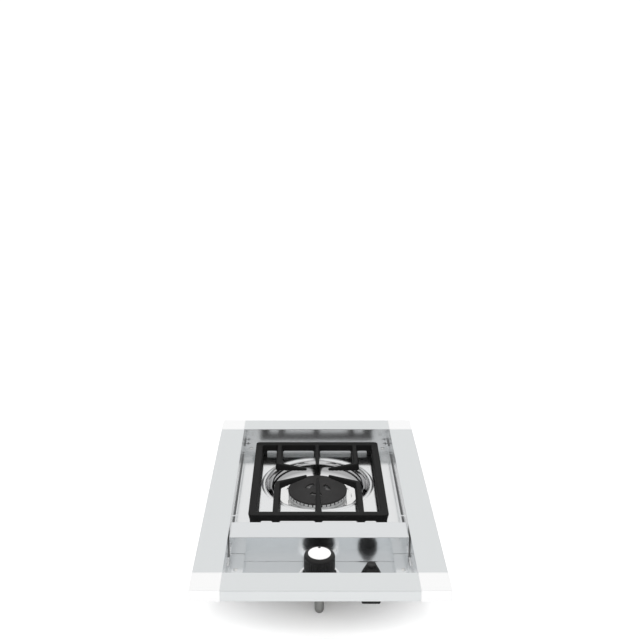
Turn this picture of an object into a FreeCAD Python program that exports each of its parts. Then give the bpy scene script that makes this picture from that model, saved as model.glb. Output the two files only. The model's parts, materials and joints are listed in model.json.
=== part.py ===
import FreeCAD, Part
import math
import os
import Sketcher

# A gas side burner that drops into a cut-out in an outdoor kitchen counter.
# X runs to the right, Y to the back and Z up. The origin is the middle of the
# cut-out, level with the counter's top, on which the trim rests.
# Names that end in _drop are depths below the top face of the trim rails.

sizes = {
    # trim frame
    "trim_width": 356.0,
    "trim_length": 550.0,
    "trim_height": 17.6,
    "rail_width": 42.35,
    "rail_sheet": 1.2,
    "rail_lift": 0.8,
    "rail_return": 8.0,
    "bend_radius": 2.0,
    "corner_proud": 0.6,
    "corner_wall": 2.4,
    "corner_round": 3.0,
    "corner_edge": 1.2,
    "tongue_length": 14.0,
    "tongue_thickness": 1.6,
    "tongue_inset": 9.0,
    "tongue_root": 8.0,
    "tongue_clearance": 0.4,
    "stud_length": 8.0,
    "stud_clearance": 0.3,
    "side_stud_spacing": 320.0,
    "end_stud_spacing": 140.0,
    "stud_radius": 1.6,
    "nut_radius": 3.4,
    "nut_height": 2.4,
    # box that hangs in the counter
    "rail_overhang": 0.85,
    "end_cover": 19.0,
    "box_sheet": 1.0,
    "box_drop": 98.0,
    "box_front_drop": 44.0,
    "box_flange": 17.0,
    "bulkhead_drop": 45.0,
    "vent_length": 70.0,
    "vent_width": 8.0,
    "vent_pitch": 22.0,
    "vent_offset": 85.0,
    "vent_count": 3.0,
    # deck round the burner
    "deck_drop": 36.0,
    "deck_sheet": 1.2,
    "deck_gap": 2.3,
    "deck_tab": 4.0,
    "deck_tab_front": -17.7,
    "deck_tab_inset": 50.0,
    "relief_length": 9.0,
    "relief_width": 2.4,
    "screw_inset": 13.5,
    "deck_screw_front": 22.7,
    "deck_screw_back": 30.0,
    "bracket_sheet": 1.5,
    "bracket_length": 24.0,
    "bracket_leg": 16.0,
    "bracket_reach": 22.0,
    # cross shelf between the deck and the controls
    "shelf_front": -126.0,
    "shelf_width": 43.3,
    "shelf_drop": 9.0,
    "shelf_sheet": 1.0,
    "shelf_gap": 1.8,
    "shelf_foot": 12.0,
    "shelf_screw_inset": 34.2,
    # control panel
    "ledge_drop": 38.3,
    "trough_drop": 51.7,
    "ledge_width": 22.2,
    "trough_front": -210.0,
    "panel_sheet": 1.0,
    "control_y": -168.0,
    # screws
    "screw_radius": 1.9,
    "screw_hole": 2.1,
    "screw_length": 8.0,
    "screw_head_radius": 3.4,
    "screw_head_height": 2.0,
    "screw_rim": 0.5,
    # cooking grate
    "grate_width": 219.0,
    "grate_front": -51.0,
    "grate_back": 208.0,
    "grate_drop": 15.0,
    "grate_height": 12.0,
    "frame_width": 12.0,
    "bar_width": 12.5,
    "bar_slope": 1.4,
    "bar_spacing": 68.0,
    "bar_chamfer": 1.6,
    "grate_corner": 6.0,
    "foot_width": 11.5,
    "corner_foot": 17.0,
    "foot_inset": 0.6,
    "foot_clearance": 0.2,
    "front_tip": 18.5,
    "back_tip": 30.0,
    "diagonal_reach": 19.0,
    "front_root": 35.0,
    "back_root": 33.0,
    "front_offset": 10.5,
    "back_offset": 14.0,
    "elbow_inset": 0.3,
    "tip_width": 6.0,
    "tip_height": 4.0,
    # burner and its bowl
    "burner_y": 92.0,
    "bowl_floor_reach": 2.0,
    "bowl_depth": 25.0,
    "bowl_slope": 74.0,
    "bowl_lip": 6.0,
    "bowl_sheet": 0.8,
    "bowl_rim": 3.5,
    "bowl_clearance": 0.4,
    "bowl_seat": 4.5,
    "cap_radius": 51.0,
    "cap_drop": 48.0,
    "cap_thickness": 3.0,
    "cap_edge": 1.4,
    "cap_ring_height": 3.0,
    "cap_ring_wall": 3.0,
    "cap_seat": 0.1,
    "slot_radius": 18.5,
    "slot_width": 8.5,
    "slot_angle": 62.0,
    "slot_start": -11.0,
    "slot_count": 3.0,
    "cap_overhang": 0.5,
    "crown_wall": 6.5,
    "crown_seat": 0.2,
    "crown_spigot": 8.0,
    "spigot_wall": 3.0,
    "port_count": 40.0,
    "port_width": 1.8,
    "port_height": 4.5,
    "hub_radius": 24.0,
    "hub_thickness": 3.0,
    "hub_sink": 3.5,
    "spoke_width": 9.0,
    "spoke_count": 3.0,
    "flange_reach": 7.0,
    "base_flange_thickness": 3.0,
    "base_wall": 4.0,
    "base_drop": 92.0,
    "spigot_clearance": 0.3,
    "socket_length": 12.0,
    "socket_wall": 2.5,
    "socket_clearance": 0.1,
    "tube_drop": 79.6,
    "tube_radius": 12.0,
    "tube_wall": 1.5,
    "tube_front": -138.0,
    "tube_clearance": 0.3,
    "shutter_wall": 1.2,
    "shutter_length": 10.0,
    "shutter_window": 6.0,
    "shutter_window_height": 12.0,
    "shutter_clearance": 0.05,
    "shutter_inset": 1.0,
    "burner_screw_reach": 4.0,
    "burner_screw_head": 2.8,
    "burner_screw_count": 3.0,
    "burner_screw_start": 90.0,
    "support_width": 24.0,
    "support_length": 80.0,
    "support_sheet": 1.5,
    # spark igniter
    "electrode_reach": 4.3,
    "electrode_angle": 38.0,
    "electrode_radius": 0.9,
    "insulator_radius": 3.2,
    "insulator_hole": 3.5,
    "insulator_top_drop": 55.0,
    "electrode_top_drop": 51.0,
    "insulator_collar": 5.0,
    "insulator_collar_height": 3.0,
    "insulator_bottom_drop": 78.0,
    "insulator_ring": 4.5,
    "insulator_ring_height": 0.8,
    "boot_width": 9.0,
    "boot_length": 14.0,
    "boot_height": 7.0,
    "lead_radius": 1.7,
    "lead_hole": 2.6,
    "lead_drop": 93.6,
    "lead_hole_drop": 75.0,
    "lead_x": 78.0,
    "lead_dip": 40.0,
    "lead_rise": -85.0,
    "lead_ramp": 26.0,
    "lead_exit_bend": 20.0,
    "lead_floor_bend": 60.0,
    "lead_rise_bend": 30.0,
    "lead_clip_front": -53.0,
    "lead_clip_back": 8.0,
    "clip_wall": 1.0,
    "clip_width": 8.0,
    "clip_foot": 8.0,
    "terminal_radius": 3.2,
    "terminal_length": 4.0,
    "igniter_x": 76.0,
    "igniter_width": 28.0,
    "igniter_bottom_drop": 87.0,
    "igniter_neck": 11.0,
    "igniter_neck_height": 5.0,
    "igniter_bore": 7.3,
    "igniter_well": 9.0,
    "igniter_roof": 5.0,
    "igniter_floor": 5.4,
    "igniter_round": 3.0,
    "piezo_radius": 5.0,
    "piezo_height": 9.0,
    "collar_base": 2.5,
    "collar_clearance": 0.15,
    "collar_radius": 15.2,
    "collar_flare_radius": 14.4,
    "collar_flare_drop": 43.4,
    "collar_shoulder_radius": 11.2,
    "collar_shoulder_drop": 36.9,
    "collar_neck_radius": 9.1,
    "collar_neck_drop": 33.4,
    "collar_top_drop": 31.8,
    "collar_top_radius": 8.5,
    "button_radius": 7.0,
    "button_drop": 27.6,
    "button_edge": 0.8,
    "button_foot": 8.6,
    "button_foot_height": 4.0,
    # gas valve
    "valve_radius": 13.0,
    "valve_flange_length": 50.0,
    "valve_flange_width": 22.0,
    "valve_flange_thickness": 3.0,
    "valve_barrel_drop": 83.1,
    "valve_bottom_drop": 85.8,
    "valve_boss": 9.5,
    "valve_screw_spacing": 38.0,
    "outlet_radius": 6.1,
    "outlet_length": 18.0,
    "outlet_bore": 2.5,
    "inlet_bore": 4.0,
    "bonnet_clearance": 0.05,
    "plug_radius": 6.95,
    "plug_clearance": 0.05,
    "plug_top_drop": 63.6,
    "plug_bottom_drop": 83.4,
    "plug_bore_depth": 16.0,
    "plug_port": 2.0,
    "plug_end_gap": 0.2,
    "bonnet_radius": 8.95,
    "bonnet_top_drop": 44.0,
    "bonnet_bore": 6.0,
    "bonnet_roof": 2.0,
    "bonnet_sink": 10.0,
    "panel_hole_clearance": 0.35,
    "stem_radius": 3.0,
    "stem_clearance": 0.05,
    "stem_flat": 2.2,
    "stem_top_drop": 18.6,
    "stem_bottom_drop": 75.6,
    "stem_collar": 5.4,
    "stem_collar_height": 2.0,
    "stem_play": 0.3,
    "injector_hex": 6.0,
    "injector_hex_length": 6.0,
    "injector_tip": 3.0,
    "injector_length": 16.0,
    "injector_bore": 0.8,
    "injector_inlet": 3.0,
    "pipe_radius": 6.9,
    "pipe_wall": 1.4,
    "pipe_bend": 9.0,
    "pipe_drop": 109.0,
    "pipe_end": -110.0,
    "fitting_hex": 8.5,
    "fitting_hex_length": 12.0,
    "fitting_radius": 7.94,
    "fitting_length": 16.0,
    "fitting_bore": 4.0,
    # knob
    "knob_drop": 10.0,
    "knob_bottom_drop": 45.2,
    "knob_radius": 22.8,
    "knob_waist": 21.2,
    "knob_waist_drop": 37.8,
    "knob_barrel_drop": 34.6,
    "knob_skirt": 25.2,
    "knob_wall": 3.0,
    "knob_roof": 4.5,
    "knob_hub": 8.0,
    "knob_hub_drop": 40.0,
    "knob_shoulder": 5.5,
    "knob_rim": 1.6,
    "flute_count": 48.0,
    "flute_depth": 0.7,
    "flute_width": 2.0,
    "disc_radius": 16.6,
    "disc_thickness": 1.6,
    "disc_clearance": 0.2,
    "pointer_width": 2.2,
    "pointer_length": 3.4,
    "bezel_radius": 32.0,
    "bezel_bore": 27.2,
    "bezel_height": 5.0,
    "bezel_edge": 1.5,
    # springs
    "spring_wire": 0.45,
    "valve_spring_turns": 6.0,
    "button_spring_turns": 7.0,
    "spring_side_gap": 0.3,
}


class Length:
    """A size, or sums of sizes: its number, and the sheet formula that gives it."""

    def __init__(self, number, formula):
        self.number = number
        self.formula = formula

    def __add__(self, other):
        other = length(other)
        return Length(self.number + other.number, "(" + self.formula + " + " + other.formula + ")")

    def __sub__(self, other):
        other = length(other)
        return Length(self.number - other.number, "(" + self.formula + " - " + other.formula + ")")

    def __mul__(self, factor):
        factor = length(factor)
        return Length(self.number * factor.number, "(" + self.formula + " * " + factor.formula + ")")

    def __truediv__(self, factor):
        factor = length(factor)
        return Length(self.number / factor.number, "(" + self.formula + " / " + factor.formula + ")")

    def __neg__(self):
        return length(0.0) - self

    def __radd__(self, other):
        return length(other) + self

    def __rsub__(self, other):
        return length(other) - self

    def __rmul__(self, factor):
        return self * factor


def length(value):
    if isinstance(value, Length):
        return value
    return Length(float(value), "(%.9f)" % value)


def cosine(angle):
    return Length(math.cos(math.radians(angle.number)), "cos(" + angle.formula + " * 1 deg)")


def sine(angle):
    return Length(math.sin(math.radians(angle.number)), "sin(" + angle.formula + " * 1 deg)")


def make_sheet(doc):
    sheet = doc.addObject("Spreadsheet::Sheet", "Sizes")
    for row, (name, number) in enumerate(sizes.items(), start=1):
        sheet.set("A%d" % row, name.replace("_", " "))
        sheet.set("B%d" % row, str(number))
        sheet.setAlias("B%d" % row, name)
    doc.recompute()
    return {name: Length(sheet.get(name), "Sizes." + name) for name in sizes}


doc = FreeCAD.newDocument("side_burner")
size = make_sheet(doc)
overshoot = 1.0   # how far a cutting tool reaches past the faces that it cuts

# Lines and levels that several pieces share
top = size["trim_height"]
opening_half = size["trim_width"] / 2 - size["rail_width"]
opening_end = size["trim_length"] / 2 - size["rail_width"]
wall_half = opening_half + size["rail_overhang"]
wall_end = size["trim_length"] / 2 - size["end_cover"]
front_wall = opening_end + size["rail_overhang"]
rail_under = top - size["rail_sheet"]
deck_top = top - size["deck_drop"]
deck_under = deck_top - size["deck_sheet"]
deck_half = wall_half - size["deck_gap"]
shelf_back = size["shelf_front"] + size["shelf_width"]
bulkhead_front = size["shelf_front"] + size["shelf_sheet"]
bulkhead_back = bulkhead_front + size["box_sheet"]
bay_bottom = top - size["box_front_drop"]
ledge_top = top - size["ledge_drop"]
ledge_under = ledge_top - size["panel_sheet"]
trough_top = top - size["trough_drop"]
trough_under = trough_top - size["panel_sheet"]
trough_half = deck_half - size["ledge_width"]
box_bottom = top - size["box_drop"]
box_floor = box_bottom + size["box_sheet"]
screw_x = wall_half - size["screw_inset"]
crown_radius = size["cap_radius"] - size["cap_overhang"]
bowl_hole = crown_radius - size["bowl_seat"]
base_flange = size["cap_radius"] + size["flange_reach"]
bowl_floor_radius = base_flange + size["bowl_floor_reach"]
bowl_turn = 1 - cosine(size["bowl_slope"])
bowl_curve = (size["bowl_depth"] + size["bowl_sheet"]) / bowl_turn - size["bowl_lip"]
bowl_radius = bowl_floor_radius + bowl_curve * sine(size["bowl_slope"])
bowl_opening = bowl_radius + size["bowl_lip"] * sine(size["bowl_slope"])
bowl_floor = deck_top - size["bowl_depth"]
bowl_under = bowl_floor - size["bowl_sheet"]
base_inner = bowl_hole - size["base_wall"] + size["spigot_clearance"]
base_bottom = top - size["base_drop"]
cap_top = top - size["cap_drop"]
cap_under = cap_top - size["cap_thickness"]
crown_top = cap_under - size["cap_seat"]
crown_bottom = bowl_floor + size["crown_seat"]
tube_z = top - size["tube_drop"]
tube_bore = size["tube_radius"] - size["tube_wall"]
valve_bore = size["plug_radius"] + size["plug_clearance"]
plug_top = top - size["plug_top_drop"]
stem_bore = size["stem_radius"] + size["stem_clearance"]
collar_top = top - size["bonnet_top_drop"] - size["bonnet_roof"] - size["stem_play"]
spring_top = collar_top - size["stem_collar_height"]
bonnet_bottom = trough_under - size["bonnet_sink"]
igniter_bottom = top - size["igniter_bottom_drop"]
igniter_floor = igniter_bottom + size["igniter_floor"]
button_stop = trough_under - size["igniter_roof"]
button_seat = button_stop - size["stem_play"] - size["button_foot_height"]
grate_top = top - size["grate_drop"]
grate_under = grate_top - size["grate_height"]
pipe_z = top - size["pipe_drop"]


def bind(feature, prop, value):
    feature.setExpression(prop, length(value).formula)


def place(feature, x=0.0, y=0.0, z=0.0, axis=(0, 0, 1), angle=0.0):
    turn = FreeCAD.Rotation(FreeCAD.Vector(*axis), angle)
    feature.Placement = FreeCAD.Placement(FreeCAD.Vector(0, 0, 0), turn)
    bind(feature, ".Placement.Base.x", x)
    bind(feature, ".Placement.Base.y", y)
    bind(feature, ".Placement.Base.z", z)


def block(name, x, y, z):
    """A box between a low and a high value along each axis."""
    feature = doc.addObject("Part::Box", name)
    bind(feature, "Length", x[1] - x[0])
    bind(feature, "Width", y[1] - y[0])
    bind(feature, "Height", z[1] - z[0])
    place(feature, x[0], y[0], z[0])
    return feature


def rod(name, radius, x, y, low, high):
    """An upright cylinder between two levels."""
    feature = doc.addObject("Part::Cylinder", name)
    bind(feature, "Radius", radius)
    bind(feature, "Height", high - low)
    place(feature, x, y, low)
    return feature


def rod_back(name, radius, x, z, front, back):
    """A cylinder that lies along Y."""
    feature = doc.addObject("Part::Cylinder", name)
    bind(feature, "Radius", radius)
    bind(feature, "Height", back - front)
    place(feature, x, front, z, (1, 0, 0), -90)
    return feature


def hexagon_back(name, radius, x, z, front, back):
    """A hexagonal bar along Y, measured to its flats."""
    feature = doc.addObject("Part::Prism", name)
    feature.Polygon = 6
    bind(feature, "Circumradius", radius / math.cos(math.pi / 6))
    bind(feature, "Height", back - front)
    place(feature, x, front, z, (1, 0, 0), -90)
    return feature


def joined(name, pieces):
    feature = doc.addObject("Part::MultiFuse", name)
    feature.Shapes = pieces
    feature.Refine = True
    return feature


def less(name, base, tool):
    feature = doc.addObject("Part::Cut", name)
    feature.Base = base
    feature.Tool = tool
    feature.Refine = True
    return feature


def group(name, pieces):
    """Separate solids that share one node."""
    feature = doc.addObject("Part::Compound", name)
    feature.Links = pieces
    return feature


def origin_plane(body, role):
    return [item for item in body.Origin.OriginFeatures if item.Role == role][0]


def arc_between(start, end, radius):
    """The short arc from start to end; a positive radius bulges to the right of the way."""
    chord = end - start
    middle = (start + end) / 2
    side = FreeCAD.Vector(-chord.y, chord.x, 0).normalize()
    reach = math.sqrt(max(radius * radius - chord.Length * chord.Length / 4, 0.0))
    centre = middle + side * math.copysign(reach, radius)
    first, last = (start, end) if radius > 0 else (end, start)
    begin = math.atan2(first.y - centre.y, first.x - centre.x)
    finish = math.atan2(last.y - centre.y, last.x - centre.x)
    if finish < begin:
        finish += 2 * math.pi
    circle = Part.Circle(centre, FreeCAD.Vector(0, 0, 1), abs(radius))
    return Part.ArcOfCircle(circle, begin, finish)


def draw_outline(sketch, corners, tag="p"):
    """A closed outline. A corner is (x, y), or (x, y, radius) where an arc leaves it."""
    points = [FreeCAD.Vector(length(c[0]).number, length(c[1]).number, 0) for c in corners]
    ends = []
    for index, corner in enumerate(corners):
        start = points[index]
        end = points[(index + 1) % len(points)]
        if len(corner) == 3:
            radius = length(corner[2])
            item = sketch.addGeometry(arc_between(start, end, radius.number), False)
            ends.append((item, 1, 2) if radius.number > 0 else (item, 2, 1))
            bend = sketch.addConstraint(Sketcher.Constraint("Radius", item, abs(radius.number)))
            sketch.renameConstraint(bend, "%sr%d" % (tag, index))
            bind(sketch, "Constraints.%sr%d" % (tag, index), radius if radius.number > 0 else -radius)
        else:
            item = sketch.addGeometry(Part.LineSegment(start, end), False)
            ends.append((item, 1, 2))
    for index, (item, begin, _) in enumerate(ends):
        previous, _, finish = ends[index - 1]
        sketch.addConstraint(Sketcher.Constraint("Coincident", previous, finish, item, begin))
        for kind, axis in (("DistanceX", 0), ("DistanceY", 1)):
            value = length(corners[index][axis])
            name = "%s%s%d" % (tag, "xy"[axis], index)
            fixed = sketch.addConstraint(Sketcher.Constraint(kind, -1, 1, item, begin, value.number))
            sketch.renameConstraint(fixed, name)
            bind(sketch, "Constraints." + name, value)


def new_body(name):
    body = doc.addObject("PartDesign::Body", name)
    body.Label = name
    return body


def new_sketch(body, name, role, shift=0.0):
    sketch = body.newObject("Sketcher::SketchObject", name)
    sketch.AttachmentSupport = (origin_plane(body, role), [""])
    sketch.MapMode = "FlatFace"
    bind(sketch, ".AttachmentOffset.Base.z", shift)
    return sketch


def turned(name, corners, x=0.0, y=0.0):
    """A body of revolution: corners are (radius, height) about an upright axis."""
    body = new_body(name)
    sketch = new_sketch(body, name + "_profile", "XZ_Plane")
    draw_outline(sketch, corners)
    turn = body.newObject("PartDesign::Revolution", name + "_turn")
    turn.Profile = sketch
    turn.ReferenceAxis = (sketch, ["V_Axis"])
    turn.Angle = 360
    body.Tip = turn
    place(body, x, y, 0.0)
    return body


def padded(body, name, outlines, low, high, role="XY_Plane"):
    """Adds a plate to a body, between two places along the normal of one of its planes."""
    shift = -high if role == "XZ_Plane" else low
    sketch = new_sketch(body, name + "_outline", role, shift)
    for index, corners in enumerate(outlines):
        draw_outline(sketch, corners, "o%dp" % index)
    pad = body.newObject("PartDesign::Pad", name)
    pad.Profile = sketch
    bind(pad, "Length", high - low)
    body.Tip = pad
    return pad


def pocketed(body, name, outlines, high, depth):
    """Cuts outlines down into a body from a level."""
    sketch = new_sketch(body, name + "_outline", "XY_Plane", high)
    for index, corners in enumerate(outlines):
        draw_outline(sketch, corners, "o%dp" % index)
    pocket = body.newObject("PartDesign::Pocket", name)
    pocket.Profile = sketch
    bind(pocket, "Length", depth)
    body.Tip = pocket
    return pocket


def repeated(body, name, feature, count):
    """Repeats a feature evenly round the upright axis of its body."""
    pattern = body.newObject("PartDesign::PolarPattern", name)
    pattern.Originals = [feature]
    pattern.Axis = (origin_plane(body, "Z_Axis"), [""])
    pattern.Angle = 360
    bind(pattern, "Occurrences", count)
    body.Tip = pattern
    return pattern


def rectangle(x, y):
    return [(x[0], y[0]), (x[1], y[0]), (x[1], y[1]), (x[0], y[1])]


def rounded_rectangle(x, y, radius):
    return [
        (x[0] + radius, y[0]), (x[1] - radius, y[0], radius),
        (x[1], y[0] + radius), (x[1], y[1] - radius, radius),
        (x[1] - radius, y[1]), (x[0] + radius, y[1], radius),
        (x[0], y[1] - radius), (x[0], y[0] + radius, radius),
    ]


def sector(inner, outer, start, angle):
    """A piece of a ring in plan, from one angle over the next."""
    end = start + angle
    return [
        (inner * cosine(start), inner * sine(start)),
        (outer * cosine(start), outer * sine(start), outer),
        (outer * cosine(end), outer * sine(end)),
        (inner * cosine(end), inner * sine(end), -inner),
    ]


def arc_edge(start, corner, end):
    """The arc that leaves start towards corner and comes to end from it."""
    turn = (corner - start).getAngle(end - corner)
    weight = math.cos(turn / 2)
    middle = (start + corner * (2 * weight) + end) * (1 / (2 + 2 * weight))
    return Part.Arc(start, middle, end).toShape()


def path_of(points, bends):
    """Straight runs joined by tangent arcs, with a radius for each inner point."""
    edges = []
    here = points[0]
    for before, corner, after, radius in zip(points, points[1:], points[2:], bends):
        way_in = (corner - before).normalize()
        way_out = (after - corner).normalize()
        reach = radius * math.tan(way_in.getAngle(way_out) / 2)
        edges.append(Part.LineSegment(here, corner - way_in * reach).toShape())
        edges.append(arc_edge(corner - way_in * reach, corner, corner + way_out * reach))
        here = corner + way_out * reach
    edges.append(Part.LineSegment(here, points[-1]).toShape())
    return Part.Wire(edges)


def tube_along(path, radius):
    """A round bar along a path of straight runs and arcs."""
    start = path.Edges[0]
    way = start.tangentAt(start.FirstParameter)
    ring = Part.Wire(Part.makeCircle(radius, start.Vertexes[0].Point, way))
    return path.makePipeShell([ring], True, False)


def coil(name, x, y, low, high, mean_radius, turns):
    """A compression spring, wound on arcs of an eighth of a turn."""
    wire = size["spring_wire"].number
    radius = mean_radius.number
    rise = (high - low).number - 2 * wire
    spans = int(turns.number) * 4
    slope = rise / (2 * math.pi * radius * turns.number)

    def station(step):
        angle = 2 * math.pi * turns.number * step / spans
        point = FreeCAD.Vector(radius * math.cos(angle), radius * math.sin(angle), wire + rise * step / spans)
        return point, FreeCAD.Vector(-math.sin(angle), math.cos(angle), slope).normalize()

    edges = []
    for step in range(spans):
        start, way_in = station(step)
        end, way_out = station(step + 1)
        chord = end - start
        across = chord * (way_in + way_out)
        spread = 2 * (1 - way_in * way_out)
        reach = (math.sqrt(across * across + spread * (chord * chord)) - across) / spread
        first = start + way_in * reach
        second = end - way_out * reach
        middle = (first + second) * 0.5
        edges.append(arc_edge(start, first, middle))
        edges.append(arc_edge(middle, second, end))
    feature = doc.addObject("Part::Feature", name + "_wire")
    feature.Shape = tube_along(Part.Wire(edges), wire)
    place(feature, x, y, low)
    print("%s: gap between turns %.2f mm" % (name, rise / turns.number - 2 * wire))
    return keep(feature, name)


nodes = []


def keep(feature, name):
    """Names a finished sub-part and puts it on the list that is written out."""
    feature.Label = name
    nodes.append(feature)
    return feature


def both_sides(name, x, y, z):
    """A block and its mirror image across the middle."""
    return [block(name + "_right", x, y, z), block(name + "_left", (-x[1], -x[0]), y, z)]


# Trim frame: four folded rails between four corner caps

def trim_rail(name, role, opening, outer, half_length, stud_line, stud_half, turn):
    body = new_body(name)
    bend = size["bend_radius"]
    sheet = size["rail_sheet"]
    foot = size["rail_lift"]
    section = [
        (outer, foot), (outer, top - bend, bend),
        (outer - bend, top), (opening, top), (opening, rail_under),
        (outer - bend, rail_under, sheet - bend), (outer - sheet, top - bend),
        (outer - sheet, foot + sheet), (outer - size["rail_return"], foot + sheet),
        (outer - size["rail_return"], foot),
    ]
    padded(body, name + "_fold", [section], -half_length, half_length, role)
    studs = new_sketch(body, name + "_stud_places", "XY_Plane", rail_under - size["stud_length"])
    for index, along in enumerate((-stud_half, stud_half)):
        x, y = (stud_line, along) if role == "XZ_Plane" else (along, stud_line)
        circle_at(studs, x, y, size["stud_radius"], "c%d" % index)
    pad = body.newObject("PartDesign::Pad", name + "_studs")
    pad.Profile = studs
    bind(pad, "Length", size["stud_length"] + sheet / 2)
    body.Tip = pad
    place(body, angle=turn)
    return keep(body, name)


def circle_at(sketch, x, y, radius, tag):
    centre = FreeCAD.Vector(length(x).number, length(y).number, 0)
    item = sketch.addGeometry(Part.Circle(centre, FreeCAD.Vector(0, 0, 1), radius.number), False)
    bend = sketch.addConstraint(Sketcher.Constraint("Radius", item, radius.number))
    sketch.renameConstraint(bend, tag + "r")
    bind(sketch, "Constraints." + tag + "r", radius)
    for kind, letter, value in (("DistanceX", "x", x), ("DistanceY", "y", y)):
        fixed = sketch.addConstraint(Sketcher.Constraint(kind, -1, 1, item, 3, length(value).number))
        sketch.renameConstraint(fixed, tag + letter)
        bind(sketch, "Constraints." + tag + letter, value)


def trim_rails():
    trim_half = size["trim_width"] / 2
    trim_end = size["trim_length"] / 2
    middle = size["box_flange"] / 2
    side_studs = size["side_stud_spacing"] / 2
    end_studs = size["end_stud_spacing"] / 2
    side = (opening_half, trim_half, opening_end, wall_half + middle, side_studs)
    front = (opening_end, trim_end, opening_half, front_wall + middle, end_studs)
    back = (opening_end, trim_end, opening_half, wall_end + middle, end_studs)
    trim_rail("trim_rail_right", "XZ_Plane", *side, 0)
    trim_rail("trim_rail_left", "XZ_Plane", *side, 180)
    trim_rail("trim_rail_back", "YZ_Plane", *back, 0)
    trim_rail("trim_rail_front", "YZ_Plane", *front, 180)


def top_edges(feature, level):
    """The names of a shape's edges that lie at a level."""
    names = []
    for index, edge in enumerate(feature.Shape.Edges, start=1):
        if all(abs(vertex.Z - level.number) < 0.001 for vertex in edge.Vertexes):
            names.append("Edge%d" % index)
    return names


def trim_corner(name, x_side, y_side, turn):
    """A cast cap. Its own origin is the frame's outer corner."""
    body = new_body(name)
    width = size["rail_width"]
    wall = size["corner_wall"]
    cap_face = top + size["corner_proud"]
    curve = size["corner_round"]
    outline = [(-width, -width), (0, -width), (0, -curve, curve), (-curve, 0), (-width, 0)]
    block_pad = padded(body, name + "_block", [outline], length(0), cap_face)
    doc.recompute()
    soft = body.newObject("PartDesign::Fillet", name + "_edge")
    soft.Base = (block_pad, top_edges(block_pad, cap_face))
    bind(soft, "Radius", size["corner_edge"])
    body.Tip = soft
    hollow = rectangle((-width - overshoot, -wall), (-width - overshoot, -wall))
    pocketed(body, name + "_hollow", [hollow], rail_under, cap_face)
    along = (-width - size["tongue_length"], -width + size["tongue_root"])
    across = (-width + size["tongue_inset"], -size["tongue_inset"])
    tongue_low = rail_under - size["tongue_thickness"]
    padded(body, name + "_tongue_side", [rectangle(across, along)], tongue_low, rail_under)
    padded(body, name + "_tongue_end", [rectangle(along, across)], tongue_low, rail_under)
    place(body, size["trim_width"] / 2 * x_side, size["trim_length"] / 2 * y_side, 0, (0, 0, 1), turn)
    return keep(body, name)


def trim_corners():
    trim_corner("trim_corner_back_right", 1, 1, 0)
    trim_corner("trim_corner_back_left", -1, 1, 90)
    trim_corner("trim_corner_front_left", -1, -1, 180)
    trim_corner("trim_corner_front_right", 1, -1, 270)


def stud_places():
    middle = size["box_flange"] / 2
    side = size["side_stud_spacing"] / 2
    end = size["end_stud_spacing"] / 2
    places = []
    for sign in (-1, 1):
        places.append((-wall_half - middle, side * sign))
        places.append((wall_half + middle, side * sign))
        places.append((end * sign, -front_wall - middle))
        places.append((end * sign, wall_end + middle))
    return places


def trim_nuts():
    high = rail_under - size["box_sheet"]
    made = []
    for index, (x, y) in enumerate(stud_places()):
        nut = doc.addObject("Part::Prism", "trim_nut_%d" % index)
        nut.Polygon = 6
        bind(nut, "Circumradius", size["nut_radius"])
        bind(nut, "Height", size["nut_height"])
        place(nut, x, y, high - size["nut_height"])
        low = high - size["stud_length"]
        thread = rod("trim_nut_thread_%d" % index, size["stud_radius"], x, y, low, high)
        made.append(less("trim_nut_bored_%d" % index, nut, thread))
    return keep(group("trim_nut_group", made), "trim_nuts")


# Box that hangs in the counter

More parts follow.
